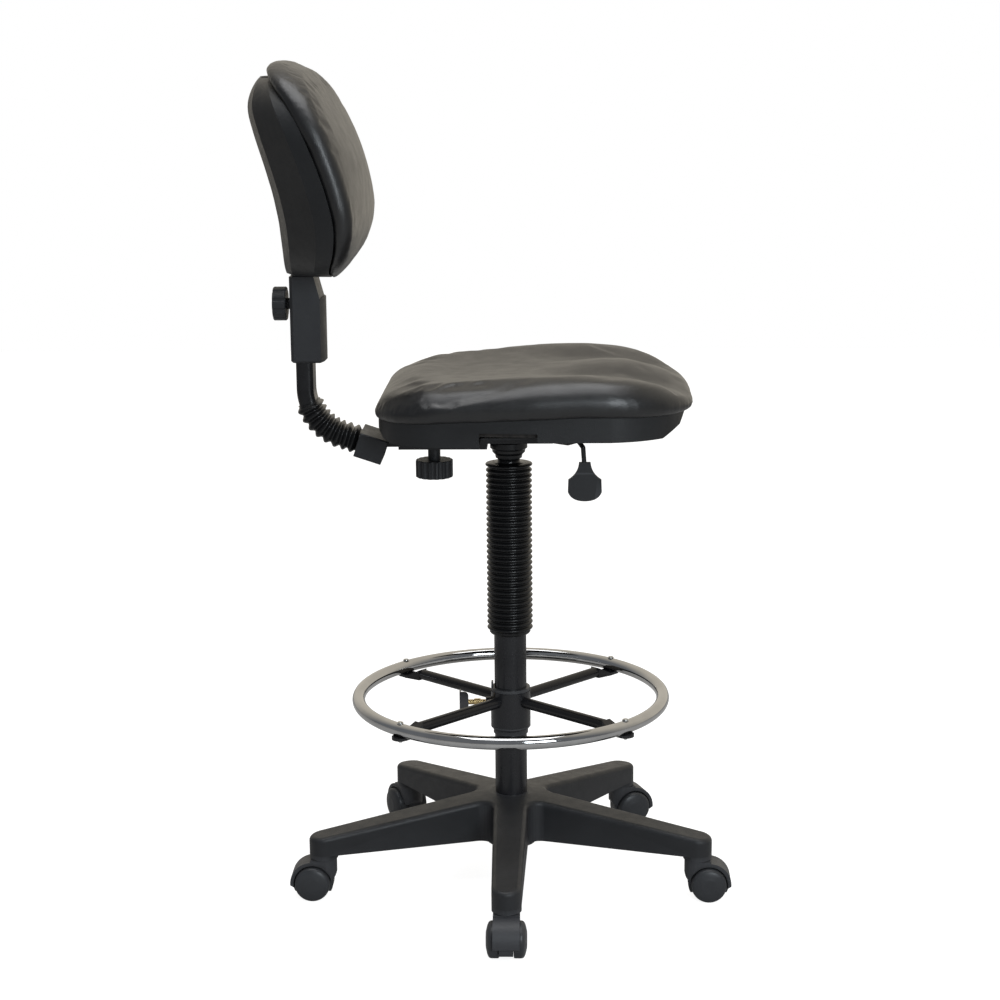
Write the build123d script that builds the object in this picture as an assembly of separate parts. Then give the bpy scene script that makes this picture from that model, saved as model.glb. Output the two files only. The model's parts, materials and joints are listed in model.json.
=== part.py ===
from build123d import *
from build123d.topology import SkipClean
import os
from math import atan2, cos, degrees, pi, radians, sin, sqrt, tan

# A drafting chair on a five-star base, in millimetres. The origin is on the floor under the
# gas-lift column, +X is the way the sitter faces, +Z is up. The back sits at -X.
# The sitter's right hand is at -Y.

# ---- driving dimensions: casters and base ------------------------------------------------
LEG_COUNT = 5
LEG_STEP = 360 / LEG_COUNT
FIRST_LEG_ANGLE = -90
STEM_CIRCLE_R = 303
CASTER_YAWS = (-90, 0, 20, 120, 180)  # which way each caster trails, one for each leg
WHEEL_R = 27
WHEEL_OFFSET = 17  # from the swivel axis back to the axle
WHEEL_INNER_Y = 10.8
TREAD_OUTER_Y = 20.5
WHEEL_OUTER_Y = 30
AXLE_R = 3
RUNNING_GAP = 0.04
HOOD_HALF_WIDTH = 19.5
HOOD_OUTER_R = 34.5
HOOD_INNER_R = 29
HOOD_TOP_Z = 64
HOOD_NECK_R = 20
WEB_HALF_WIDTH = 10.3
STEM_R = 5.5
STEM_BOTTOM_Z = 48
STEM_TOP_Z = 91

TIP_BOTTOM_Z = 65
TIP_R = 22
LEG_BOTTOM_Z = 72
LEG_ROOT_HALF_WIDTH = 28
HUB_BOTTOM_Z = 58
HUB_SKIRT_R = 38
HUB_TOP_Z = 140
LEG_TOP_AT_TIP_Z = 102
HUB_FLAT_R = 33
LEG_EDGE_FILLET = 7
LEG_CORNER_FILLET = 20
LEG_WALL = 4.5

# ---- gas lift ----------------------------------------------------------------------------
TUBE_R = 25
TUBE_WALL = 1.5
TUBE_BOTTOM_Z = 70
TUBE_FLOOR = 3
TUBE_TOP_Z = 440
BUSH_BOTTOM_Z = 380
CYLINDER_R = 14
CYLINDER_WALL = 1.5
CYLINDER_BOTTOM_Z = 250
CYLINDER_TOP_Z = 704
ROD_R = 5
ROD_TOP_Z = 400
BELLOWS_BOTTOM_Z = 398
BELLOWS_TOP_Z = 666
BELLOWS_FOLDS = 30
BELLOWS_OUTER_R = 35.5
BELLOWS_VALLEY_R = 31.5
BELLOWS_WALL = 1.4

# ---- foot ring ---------------------------------------------------------------------------
RING_R = 237
RING_TUBE_R = 10
RING_TUBE_WALL = 1.5
RING_Z = 296
RING_TURN = 2.6  # how far the four spokes are turned from the diagonals
SPOKE_COUNT = 4
SPOKE_R = 8.5
SPOKE_WALL = 1.5
SPOKE_END_THICKNESS = 4.3
SPOKE_END_HALF_WIDTH = 13
SPOKE_FLAT_START = 222
SPOKE_ROUND_END = 198
COLLAR_R = 31
COLLAR_BORE_R = 28.54
COLLAR_BOTTOM_Z = 250.3
COLLAR_TOP_Z = 305.7
RING_BUSH_R = 28.5
RING_BUSH_BOTTOM_Z = 237
RING_BUSH_TOP_Z = 311
CLAMP_Z = 286
CLAMP_SCREW_R = 4
CLAMP_REACH = 80

# ---- mechanism under the seat ------------------------------------------------------------
PLATE_TOP_Z = 726.5
PLATE_THICKNESS = 3
PLATE_REAR_X = -85
PLATE_FRONT_X = 95
PLATE_HALF_WIDTH = 100
PLATE_LIP_Z = 714
SEAT_BOLT_X = (-62, 72)
SEAT_BOLT_Y = 60
SEAT_BOLT_R = 3
CHANNEL_REAR_X = -166
CHANNEL_FRONT_X = -32
CHANNEL_HALF_WIDTH = 33
CHANNEL_BOTTOM_Z = 693
CHANNEL_HEIGHT = 13
CHANNEL_WALL = 3
SOCKET_BOTTOM_Z = 675
DEPTH_STUD_X = -114
STUD_R = 4
DEPTH_KNOB_R = 28.5
DEPTH_KNOB_BOTTOM_Z = 645
DEPTH_KNOB_TOP_Z = 672
DEPTH_TRAVEL = 50

# ---- height lever ------------------------------------------------------------------------
LEVER_TURN_X = 111
LEVER_TURN_Y = -125
LEVER_ROD_R = 3.5
LEVER_INNER_Z = 711.4
LEVER_OUTER_Z = 722
LEVER_RISE_REACH = 136  # where the rod clears the plate's corner and rises
LEVER_RISE_Z = 715
LEVER_PIVOT_REACH = 45
LEVER_PIN_R = 1.5
PADDLE_X = 115
PADDLE_TOP_Z = 691
PADDLE_BOTTOM_Z = 633
PADDLE_HALF_WIDTH = 25
PADDLE_THICKNESS = 7

# ---- seat --------------------------------------------------------------------------------
SEAT_REAR_X = -195
SEAT_FRONT_X = 271
SEAT_HALF_WIDTH = 218
SEAT_REAR_HALF_WIDTH = 196
SEAT_REAR_CORNER_R = 105
SEAT_FRONT_CORNER_R = 135
SEAM_REAR_Z = 756
SEAM_FRONT_Z = 775
SHELL_WALL = 3
SHELL_INSET = 6
SHELL_FLOOR_Z = 726.5
SHELL_FRONT_FLOOR_Z = 735
SHELL_FLOOR_STEP_X = 41
BOARD_BOTTOM_Z = 741
BOARD_THICKNESS = 12
ARM_BOLT_X = 5
ARM_BOLT_SPACING = 60
ARM_BOLT_Y = 165
ARM_NOTCH_HALF = 42
BOSS_R = 9

# ---- back --------------------------------------------------------------------------------
JBAR_X = -307
JBAR_DEPTH = 26
JBAR_HALF_WIDTH = 25
JBAR_WALL = 2
JBAR_TOP_Z = 1010
JBAR_BEND_R = 78
JBAR_NOSE_DOWN = 18.6  # how far the lower leg points below the horizontal
JBAR_BEND_TOP_Z = 785
COVER_LENGTH = 43
COVER_HEIGHT = 38
COVER_HALF_WIDTH = 42
COVER_START = 27  # along the bar's straight nose, from the end of the bend
NOSE_LENGTH = 47
BOOT_FOLDS = 8
BOOT_PITCH = 12.2
BOOT_START = 28  # along the bar, from the top of the bend
BOOT_INNER_GAP = 0.5
BOOT_VALLEY = 3.5
BOOT_RIDGE = 6.5
BOOT_RIDGE_WIDTH = 5.5
TONGUE_Z = 696.5
TONGUE_THICKNESS = 6
TONGUE_HALF_WIDTH = 28
TONGUE_FRONT_X = -45
BRACKET_BOTTOM_Z = 836
BRACKET_TOP_Z = 1078
BRACKET_WALL = 2
BRACKET_GAP = 0.5
SLEEVE_BOTTOM_Z = 825
SLEEVE_TOP_Z = 955
SLEEVE_REAR_X = -326
SLEEVE_FRONT_X = -280
SLEEVE_CROWN = 6
SLEEVE_HALF_WIDTH = 31
HEIGHT_KNOB_Z = 912
HEIGHT_KNOB_R = 25.5
HEIGHT_KNOB_REAR_X = -353
HEIGHT_KNOB_FRONT_X = -333
BACK_BOTTOM_Z = 954
BACK_TOP_Z = 1271
BACK_HALF_WIDTH = 195
LUMBAR_X = -242  # the foremost point of the cushion's seam, and its height
LUMBAR_Z = 1033
LUMBAR_BEND = 0.0211
LUMBAR_POWER = 1.54
BACK_ROUNDNESS = 3.2  # exponent of the front outline: 2 is an ellipse, more is squarer
BACK_SHELL_TOP_Z = 1251
BACK_SHELL_WALL = 3
BACK_SHELL_DEPTH = 87
BACK_SHELL_FACETS = ((0.27, 0.975), (0.80, 0.70), (1.0, 0.40))  # facet corners, shares of depth and half width
BACK_SHELL_SLOPE = 44  # how far below the top the rear slants forward to its blunt top
BACK_BOARD_THICKNESS = 11
CUSHION_SIDE = 31
CUSHION_CROWN = 8
WOOD_SCREW_R = 1.8


# ---- helpers -----------------------------------------------------------------------------
def block(x0, x1, y0, y1, z0, z1):
    return Pos((x0 + x1) / 2, (y0 + y1) / 2, (z0 + z1) / 2) * Box(x1 - x0, y1 - y0, z1 - z0)


def rod(radius, z0, z1, x=0, y=0):
    return Pos(x, y, (z0 + z1) / 2) * Cylinder(radius, z1 - z0)


def pipe(outer_r, inner_r, z0, z1):
    return rod(outer_r, z0, z1) - rod(inner_r, z0 - 1, z1 + 1)


def rod_between(start, end, radius):
    """A round rod from one point to another."""
    span = Vector(*end) - Vector(*start)
    plane = Plane(origin=start, z_dir=span)
    return extrude(plane * Circle(radius), span.length)


def side_face(points):
    """A flat face in the XZ plane from (x, z) points."""
    return make_face(Polyline([(x, 0, z) for x, z in points], close=True))


def side_slab(points, half_width):
    """A side outline thickened equally to both sides of the middle plane."""
    return extrude(side_face(points), half_width, dir=(0, 1, 0), both=True)


def turned(points):
    """A solid of revolution about the column axis from (radius, z) points."""
    return revolve(side_face(points), Axis.Z)


def polar(radius, angle):
    return radius * cos(radians(angle)), radius * sin(radians(angle))


def save(node, shape):
    shape.label = node
    export_step(shape, f"parts/{node}.step")


def group(solids):
    return Compound(children=list(solids))


# ---- casters -----------------------------------------------------------------------------
def caster_arc(radius, angle):
    """A point on a circle about the axle, in the caster's own side view."""
    dx, dz = polar(radius, angle)
    return WHEEL_OFFSET + dx, WHEEL_R + dz


def caster_hood():
    """The one-piece hood, its swivel axis on Z, trailing towards +X."""
    neck_foot = caster_arc(HOOD_OUTER_R, 85)
    outline = [
        Line((-HOOD_NECK_R, HOOD_TOP_Z), (HOOD_NECK_R, HOOD_TOP_Z)),
        Line((HOOD_NECK_R, HOOD_TOP_Z), neck_foot),
        ThreePointArc(neck_foot, caster_arc(HOOD_OUTER_R, 40), caster_arc(HOOD_OUTER_R, -4)),
        Line(caster_arc(HOOD_OUTER_R, -4), caster_arc(HOOD_INNER_R, -12)),
        ThreePointArc(
            caster_arc(HOOD_INNER_R, -12), caster_arc(HOOD_INNER_R, 85), caster_arc(HOOD_INNER_R, 172)
        ),
        ThreePointArc(caster_arc(HOOD_INNER_R, 172), (-17.5, 36), (-HOOD_NECK_R, 44)),
        Line((-HOOD_NECK_R, 44), (-HOOD_NECK_R, HOOD_TOP_Z)),
    ]
    face = Plane.XZ * make_face(outline)
    canopy = extrude(face, HOOD_HALF_WIDTH, both=True)
    web_disc = Plane.XZ * Pos(WHEEL_OFFSET, WHEEL_R) * Circle(HOOD_OUTER_R - 3)
    web = extrude(web_disc, WEB_HALF_WIDTH, both=True) - block(-60, 80, -30, 30, -20, 12)
    rounding = rod(HOOD_NECK_R, 0, HOOD_TOP_Z) + block(0, 80, -40, 40, 0, HOOD_TOP_Z + 1)
    hood = (canopy + web) & rounding
    hood -= rod(STEM_R + RUNNING_GAP, STEM_BOTTOM_Z - 1, HOOD_TOP_Z + 1)
    return hood - caster_cross_rod(AXLE_R, 40)


def caster_cross_rod(radius, half_length):
    """A round bar along the wheels' axis."""
    disc = Plane.XZ * Pos(WHEEL_OFFSET, WHEEL_R) * Circle(radius)
    return extrude(disc, half_length, both=True)


def caster_wheel(side):
    """One domed wheel, on the side of +Y or -Y."""
    bore_r = AXLE_R + RUNNING_GAP
    dome = Spline(
        (WHEEL_R, TREAD_OUTER_Y), (WHEEL_R - 4, WHEEL_OUTER_Y - 3.2), (WHEEL_R - 13, WHEEL_OUTER_Y - 0.7),
        (0, WHEEL_OUTER_Y), tangents=((0, 1), (-1, 0)),
    )
    rim = Polyline((WHEEL_R, TREAD_OUTER_Y), (WHEEL_R, WHEEL_INNER_Y + 1), (WHEEL_R - 1, WHEEL_INNER_Y))
    inside = Polyline(
        (WHEEL_R - 1, WHEEL_INNER_Y), (bore_r, WHEEL_INNER_Y), (bore_r, 27.3), (0, 27.3), (0, WHEEL_OUTER_Y)
    )
    wheel = revolve(make_face([dome, rim, inside]), Axis.Y)
    if side < 0:
        wheel = wheel.mirror(Plane.XZ)
    return Pos(WHEEL_OFFSET, 0, WHEEL_R) * wheel


def caster_place(index):
    """Where caster number index stands: its stem on the leg tip, turned to its yaw."""
    x, y = polar(STEM_CIRCLE_R, FIRST_LEG_ANGLE + index * LEG_STEP)
    return Pos(x, y, 0) * Rot(0, 0, CASTER_YAWS[index])


def caster_stem():
    shank = rod(STEM_R, STEM_BOTTOM_Z, STEM_TOP_Z)
    collar = rod(9, HOOD_TOP_Z + 0.2, TIP_BOTTOM_Z)
    return shank + collar


# ---- base --------------------------------------------------------------------------------
def leg_plan():
    """One leg from above, along +X, with a round tip about the stem."""
    root = make_face(
        Polyline(
            (0, -LEG_ROOT_HALF_WIDTH), (STEM_CIRCLE_R, -TIP_R), (STEM_CIRCLE_R, TIP_R),
            (0, LEG_ROOT_HALF_WIDTH), close=True,
        )
    )
    return root + Pos(STEM_CIRCLE_R, 0) * Circle(TIP_R)


def star_plan():
    """All legs from above, with the inner corners rounded."""
    plan = Sketch() + [Rot(0, 0, FIRST_LEG_ANGLE + i * LEG_STEP) * leg_plan() for i in range(LEG_COUNT)]
    inner_corners = [v for v in plan.vertices() if Vector(v.X, v.Y).length < 60]
    return fillet(inner_corners, LEG_CORNER_FILLET)


def roof_z(radius):
    """Height of the legs' top surface at a distance from the column."""
    slope = (HUB_TOP_Z - LEG_TOP_AT_TIP_Z) / (STEM_CIRCLE_R - HUB_FLAT_R)
    return HUB_TOP_Z - slope * (radius - HUB_FLAT_R)


def base_star():
    """The moulded base: five hollow legs, ribbed below, round the column's hub."""
    reach = STEM_CIRCLE_R + TIP_R + 5
    body = turned([
        (0, HUB_BOTTOM_Z), (HUB_SKIRT_R, HUB_BOTTOM_Z), (HUB_SKIRT_R + 14, LEG_BOTTOM_Z),
        (reach, LEG_BOTTOM_Z), (reach, roof_z(reach)), (HUB_FLAT_R, HUB_TOP_Z), (0, HUB_TOP_Z),
    ])
    star = body & extrude(star_plan(), HUB_TOP_Z + 10)
    star = fillet([e for e in star.edges() if is_roof_edge(e)], LEG_EDGE_FILLET)
    hollow = turned([
        (62, LEG_BOTTOM_Z - 5), (reach, LEG_BOTTOM_Z - 5), (reach, roof_z(reach) - LEG_WALL),
        (62, roof_z(62) - LEG_WALL),
    ])
    for i in range(LEG_COUNT):
        turn = Rot(0, 0, FIRST_LEG_ANGLE + i * LEG_STEP)
        star -= turn * (extrude(leg_pockets(), HUB_TOP_Z) & hollow)
        star += turn * rod(TIP_R, TIP_BOTTOM_Z, LEG_BOTTOM_Z + 1, STEM_CIRCLE_R)
        star -= turn * rod(STEM_R, TIP_BOTTOM_Z - 1, STEM_TOP_Z, STEM_CIRCLE_R)
    return star - rod(TUBE_R, HUB_BOTTOM_Z - 1, HUB_TOP_Z + 1)


def is_roof_edge(edge):
    """Whether an edge is part of the rim round the legs' top surface."""
    middle = edge @ 0.5
    radius = sqrt(middle.X ** 2 + middle.Y ** 2)
    return radius > HUB_FLAT_R + 1 and abs(middle.Z - roof_z(radius)) < 0.5


def leg_pockets():
    """The pockets under one leg, between its cross ribs, from above."""
    pockets = Sketch()
    ribs_at = (64, 118, 172, 226, 272)
    for start, end in zip(ribs_at, ribs_at[1:]):
        near = leg_half_width(start) - LEG_WALL
        far = leg_half_width(end) - LEG_WALL
        pockets += make_face(
            Polyline((start + 2, -near), (end - 2, -far), (end - 2, far), (start + 2, near), close=True)
        )
    return pockets


def leg_half_width(radius):
    return LEG_ROOT_HALF_WIDTH + (TIP_R - LEG_ROOT_HALF_WIDTH) * radius / STEM_CIRCLE_R


# ---- gas lift ----------------------------------------------------------------------------
def stand_tube():
    """The column's outer tube, with a floor that carries the piston rod."""
    tube = pipe(TUBE_R, TUBE_R - TUBE_WALL, TUBE_BOTTOM_Z, TUBE_TOP_Z)
    floor = pipe(TUBE_R - 1, ROD_R + 0.05, TUBE_BOTTOM_Z, TUBE_BOTTOM_Z + TUBE_FLOOR)
    return tube + floor


def guide_bush():
    """The plastic bush in the tube's mouth, where the gas cylinder slides."""
    bore = CYLINDER_R + RUNNING_GAP
    sleeve = pipe(TUBE_R - TUBE_WALL, bore, BUSH_BOTTOM_Z, TUBE_TOP_Z)
    return sleeve + pipe(TUBE_R, bore, TUBE_TOP_Z, TUBE_TOP_Z + 3)


def piston_rod():
    """The piston rod: a thrust washer on the tube's floor, a clip below it, the piston on top."""
    washer_z = TUBE_BOTTOM_Z + TUBE_FLOOR + 0.05
    shape = rod(ROD_R, TUBE_BOTTOM_Z - 6, ROD_TOP_Z)
    shape += rod(12, washer_z, washer_z + 7) + rod(9, TUBE_BOTTOM_Z - 1.7, TUBE_BOTTOM_Z - 0.2)
    return shape + rod(CYLINDER_R - CYLINDER_WALL - 0.06, ROD_TOP_Z - 14, ROD_TOP_Z)


def gas_cylinder():
    """The pressure cylinder, its tapered head held in the mechanism's socket."""
    head_r = CYLINDER_R - 0.8
    inner = CYLINDER_R - CYLINDER_WALL
    taper_z = SOCKET_BOTTOM_Z
    return turned([
        (ROD_R + 0.05, CYLINDER_BOTTOM_Z), (CYLINDER_R, CYLINDER_BOTTOM_Z), (CYLINDER_R, taper_z),
        (head_r, CYLINDER_TOP_Z), (3.05, CYLINDER_TOP_Z), (3.05, CYLINDER_TOP_Z - 26),
        (inner, CYLINDER_TOP_Z - 26), (inner, CYLINDER_BOTTOM_Z + 8), (ROD_R + 0.05, CYLINDER_BOTTOM_Z + 8),
    ])


def valve_button():
    """The release pin on top of the gas cylinder."""
    return rod(3, CYLINDER_TOP_Z - 12, LEVER_INNER_Z - LEVER_ROD_R - 0.5)


def column_bellows():
    """The folded dust boot between the stand tube and the seat, a flat disc at its top."""
    cuff = 6
    pitch = (BELLOWS_TOP_Z - BELLOWS_BOTTOM_Z - 2 * cuff) / BELLOWS_FOLDS
    low = BELLOWS_BOTTOM_Z + cuff
    valley = BELLOWS_VALLEY_R
    crest = BELLOWS_OUTER_R
    outer = [(BELLOWS_OUTER_R - 6, BELLOWS_BOTTOM_Z), (valley, low)]
    inner = [(BELLOWS_OUTER_R - 6 - BELLOWS_WALL, BELLOWS_BOTTOM_Z), (valley - BELLOWS_WALL, low)]
    for i in range(BELLOWS_FOLDS):
        z = low + i * pitch
        outer += [(crest, z + pitch / 2), (valley, z + pitch)]
        inner += [(crest - BELLOWS_WALL, z + pitch / 2), (valley - BELLOWS_WALL, z + pitch)]
    disc_z = BELLOWS_TOP_Z - 2
    outer += [(crest + 0.5, disc_z), (crest + 0.5, BELLOWS_TOP_Z), (17, BELLOWS_TOP_Z),
              (17, SOCKET_BOTTOM_Z - 0.5), (CYLINDER_R, SOCKET_BOTTOM_Z - 0.5)]
    inner += [(CYLINDER_R, disc_z)]
    return turned(outer + inner[::-1])


# ---- foot ring ---------------------------------------------------------------------------
def ring_bush():
    """The plastic bush between the column and the ring's collar, with a grip tab."""
    bore = TUBE_R + 0.05
    body = turned([
        (bore, RING_BUSH_BOTTOM_Z), (bore + 2, RING_BUSH_BOTTOM_Z), (bore + 2, COLLAR_BOTTOM_Z - 7),
        (COLLAR_R - 2.5, COLLAR_BOTTOM_Z - 6), (COLLAR_R, COLLAR_BOTTOM_Z - 3),
        (COLLAR_R, COLLAR_BOTTOM_Z - 0.3), (RING_BUSH_R, COLLAR_BOTTOM_Z - 0.3),
        (RING_BUSH_R, COLLAR_TOP_Z + 0.3), (COLLAR_R - 0.6, COLLAR_TOP_Z + 0.3),
        (COLLAR_R - 0.6, RING_BUSH_TOP_Z), (bore, RING_BUSH_TOP_Z),
    ])
    tab = block(-COLLAR_R + 1, -TUBE_R - 2, -6, 6, RING_BUSH_TOP_Z - 1, RING_BUSH_TOP_Z + 8)
    return body + tab


def ring_collar():
    """The steel collar, with the threaded boss for the clamp screw."""
    collar = pipe(COLLAR_R, COLLAR_BORE_R, COLLAR_BOTTOM_Z, COLLAR_TOP_Z)
    boss = rod_between((-COLLAR_BORE_R - 0.5, 0, CLAMP_Z), (-COLLAR_R - 8, 0, CLAMP_Z), 8)
    boss -= rod(COLLAR_BORE_R, 0, 400)
    hole = rod_between((0, 0, CLAMP_Z), (-60, 0, CLAMP_Z), CLAMP_SCREW_R + RUNNING_GAP)
    return Rot(0, 0, RING_TURN) * (collar + boss - hole)


def ring_spoke(index):
    """A tube welded to the collar, its far end pressed flat to lie under the ring."""
    bottom_z = RING_Z - RING_TUBE_R - SPOKE_END_THICKNESS
    axis_z = bottom_z + SPOKE_R
    tube = rod_between((20, 0, axis_z), (SPOKE_ROUND_END, 0, axis_z), SPOKE_R)
    tube -= rod_between((19, 0, axis_z), (SPOKE_ROUND_END - 6, 0, axis_z), SPOKE_R - SPOKE_WALL)
    press = side_slab([
        (SPOKE_ROUND_END, bottom_z), (SPOKE_FLAT_START, bottom_z),
        (SPOKE_FLAT_START, bottom_z + SPOKE_END_THICKNESS), (SPOKE_ROUND_END, bottom_z + 2 * SPOKE_R),
    ], 20)
    press &= extrude(make_face(Polyline(
        (SPOKE_ROUND_END, -SPOKE_R), (SPOKE_FLAT_START, -SPOKE_END_HALF_WIDTH),
        (SPOKE_FLAT_START, SPOKE_END_HALF_WIDTH), (SPOKE_ROUND_END, SPOKE_R), close=True,
    )), 400)
    tab = block(SPOKE_FLAT_START, RING_R, -SPOKE_END_HALF_WIDTH, SPOKE_END_HALF_WIDTH,
                bottom_z, bottom_z + SPOKE_END_THICKNESS)
    tab += rod(SPOKE_END_HALF_WIDTH, bottom_z, bottom_z + SPOKE_END_THICKNESS, RING_R)
    spoke = tube + press + tab - rod(COLLAR_R, 0, 400) - rod(2.6, 0, 400, RING_R)
    return Rot(0, 0, spoke_angle(index)) * spoke


def spoke_angle(index):
    return 45 + RING_TURN + index * 360 / SPOKE_COUNT


def foot_ring():
    """The chromed tube ring, drilled for the four spoke screws."""
    section = Plane.XZ * Pos(RING_R, RING_Z) * (Circle(RING_TUBE_R) - Circle(RING_TUBE_R - RING_TUBE_WALL))
    half = revolve(section, Axis.Z, 180)
    with SkipClean():  # merging a whole torus back into one face would lose the holes
        ring = half + Rot(0, 0, 180) * half
        for i in range(SPOKE_COUNT):
            ring -= rod(2.6, RING_Z - 20, RING_Z + 20, *polar(RING_R, spoke_angle(i)))
    return ring


def ring_screw(index):
    """A round-headed screw down through the ring, with a nut under the spoke's end."""
    under = RING_Z - RING_TUBE_R - SPOKE_END_THICKNESS
    top = RING_Z + RING_TUBE_R
    screw = rod(2.5, under - 5, top) + rod(5, top, top + 1.4) + rod(3.6, top + 1.4, top + 2.6)
    nut = extrude(Pos(0, 0, under - 3.6) * RegularPolygon(4.6, 6), 3.6)
    return Pos(*polar(RING_R, spoke_angle(index)), 0) * (screw + nut)


def clamp_screw():
    """The screw that pinches the bush on to the column, with a stop sleeve."""
    screw = rod_between((-RING_BUSH_R - 0.3, 0, CLAMP_Z), (-CLAMP_REACH + 4, 0, CLAMP_Z), CLAMP_SCREW_R)
    sleeve = rod_between((-47, 0, CLAMP_Z), (-57, 0, CLAMP_Z), 5.5)
    head = rod_between((-66, 0, CLAMP_Z), (-71, 0, CLAMP_Z), 6.5)
    return Rot(0, 0, RING_TURN) * (screw + sleeve + head)


def clamp_handle():
    """The bent sheet-metal wing that turns the clamp screw."""
    half = 19
    web = block(-CLAMP_REACH, -CLAMP_REACH + 2.5, -7, 7, CLAMP_Z - 23, CLAMP_Z + half)
    wing = block(-CLAMP_REACH, -66, -9.5, -7, CLAMP_Z - 23, CLAMP_Z + half)
    wing = fillet(wing.edges().filter_by(Axis.Y).group_by(Axis.X)[-1], 7)
    handle = web + wing - rod_between((-90, 0, CLAMP_Z), (-60, 0, CLAMP_Z), CLAMP_SCREW_R)
    return Rot(0, 0, RING_TURN) * handle


# ---- mechanism ---------------------------------------------------------------------------
def seat_bolt_points():
    return [(x, y) for x in SEAT_BOLT_X for y in (-SEAT_BOLT_Y, SEAT_BOLT_Y)]


def mech_plate():
    """The pressed steel plate bolted up to the seat, its long edges turned down."""
    bottom = PLATE_TOP_Z - PLATE_THICKNESS
    plate = block(PLATE_REAR_X, PLATE_FRONT_X, -PLATE_HALF_WIDTH, PLATE_HALF_WIDTH, bottom, PLATE_TOP_Z)
    plate = fillet(plate.edges().filter_by(Axis.Z), 14)
    for side in (-1, 1):
        edge = side * PLATE_HALF_WIDTH
        across = sorted((edge, edge - side * 3))
        plate += block(-60, 68, *across, PLATE_LIP_Z, bottom + 1)
    for x, y in seat_bolt_points():
        plate -= rod(SEAT_BOLT_R, bottom - 1, PLATE_TOP_Z + 1, x, y)
    return plate


def mech_socket():
    """The welded cup that takes the gas cylinder's taper."""
    plate_bottom = PLATE_TOP_Z - PLATE_THICKNESS
    top_r = CYLINDER_R - 0.8
    return turned([
        (CYLINDER_R, SOCKET_BOTTOM_Z), (20, SOCKET_BOTTOM_Z), (21, 680), (25, 684), (25.5, 688),
        (28.5, 690.5), (28.5, 699), (26, 701), (26, CYLINDER_TOP_Z), (top_r, CYLINDER_TOP_Z),
    ]) + pipe(26, 23.5, CYLINDER_TOP_Z, plate_bottom) - lever_slot()


def lever_slot():
    """The way through the socket's wall for the height lever."""
    angle = degrees(atan2(LEVER_TURN_Y, LEVER_TURN_X))
    return Rot(0, 0, angle) * block(0, 60, -6, 6, CYLINDER_TOP_Z + 1.4, PLATE_TOP_Z - PLATE_THICKNESS)


def mech_channel():
    """The flat steel guide that holds the back's tongue, hung below the plate by two webs."""
    w = CHANNEL_HALF_WIDTH
    low = CHANNEL_BOTTOM_Z
    high = low + CHANNEL_HEIGHT
    wall = CHANNEL_WALL
    channel = block(CHANNEL_REAR_X, CHANNEL_FRONT_X, -w, w, low, high)
    channel -= block(CHANNEL_REAR_X - 1, CHANNEL_FRONT_X - wall, -w + wall, w - wall, low + wall, high - wall)
    for side in (-1, 1):
        y = side * (w - wall / 2)
        channel += block(PLATE_REAR_X, CHANNEL_FRONT_X, y - wall / 2, y + wall / 2, high,
                         PLATE_TOP_Z - PLATE_THICKNESS)
    return channel - rod(STUD_R + RUNNING_GAP, low - 1, high + 1, DEPTH_STUD_X)


def mech_bolt(x, y):
    """A hexagon bolt up through the plate and the shell into the seat board's nut."""
    head_top = PLATE_TOP_Z - PLATE_THICKNESS
    head = extrude(Pos(x, y, head_top - 4) * RegularPolygon(5.5, 6), 4)
    return head + rod(SEAT_BOLT_R, head_top - 0.5, BOARD_BOTTOM_Z + BOARD_THICKNESS, x, y)


# ---- height lever ------------------------------------------------------------------------
def lever_rod():
    """The bent rod from over the valve, under the plate and out to the paddle."""
    reach = sqrt(LEVER_TURN_X ** 2 + LEVER_TURN_Y ** 2)
    path = [
        lever_point(-4, LEVER_INNER_Z), lever_point(LEVER_PIVOT_REACH, LEVER_INNER_Z),
        lever_point(LEVER_RISE_REACH, LEVER_RISE_Z), lever_point(reach - 9, LEVER_OUTER_Z), lever_knee(),
    ]
    shape = lever_tail()
    for start, end in zip(path, path[1:]):
        shape += rod_between(start, end, LEVER_ROD_R) + Pos(*end) * Sphere(LEVER_ROD_R)
    return shape - lever_pin_rod(LEVER_PIN_R)


def lever_knee():
    """Where the rod has turned down."""
    return LEVER_TURN_X + 1.5, LEVER_TURN_Y - 1, LEVER_OUTER_Z - 9


def lever_tail():
    """The rod's hanging end, with the paddle moulded on to its last stretch."""
    return rod_between(lever_knee(), (PADDLE_X, LEVER_TURN_Y - 1, PADDLE_TOP_Z - 14), LEVER_ROD_R)


def lever_point(reach, z):
    """A point on the lever's run, at a distance from the column's axis."""
    length = sqrt(LEVER_TURN_X ** 2 + LEVER_TURN_Y ** 2)
    return LEVER_TURN_X * reach / length, LEVER_TURN_Y * reach / length, z


def lever_pin_rod(radius, half_length=9):
    """A bar across the lever at its pivot."""
    x, y, z = lever_point(LEVER_PIVOT_REACH, LEVER_INNER_Z)
    length = sqrt(x * x + y * y)
    across = (-y / length * half_length, x / length * half_length)
    return rod_between((x - across[0], y - across[1], z), (x + across[0], y + across[1], z), radius)


def lever_hanger():
    """The hanger under the plate, with the lever's pivot pin riveted in its two ears."""
    angle = degrees(atan2(LEVER_TURN_Y, LEVER_TURN_X))
    top = PLATE_TOP_Z - PLATE_THICKNESS
    low = LEVER_INNER_Z - 5
    reach = LEVER_PIVOT_REACH
    left = block(reach - 6, reach + 6, 4.2, 6.2, low, top)
    right = block(reach - 6, reach + 6, -6.2, -4.2, low, top)
    bridge = block(reach - 6, reach + 6, -6.2, 6.2, top - 1.5, top)
    return Rot(0, 0, angle) * (left + right + bridge) + lever_pin_rod(LEVER_PIN_R - RUNNING_GAP)


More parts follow.
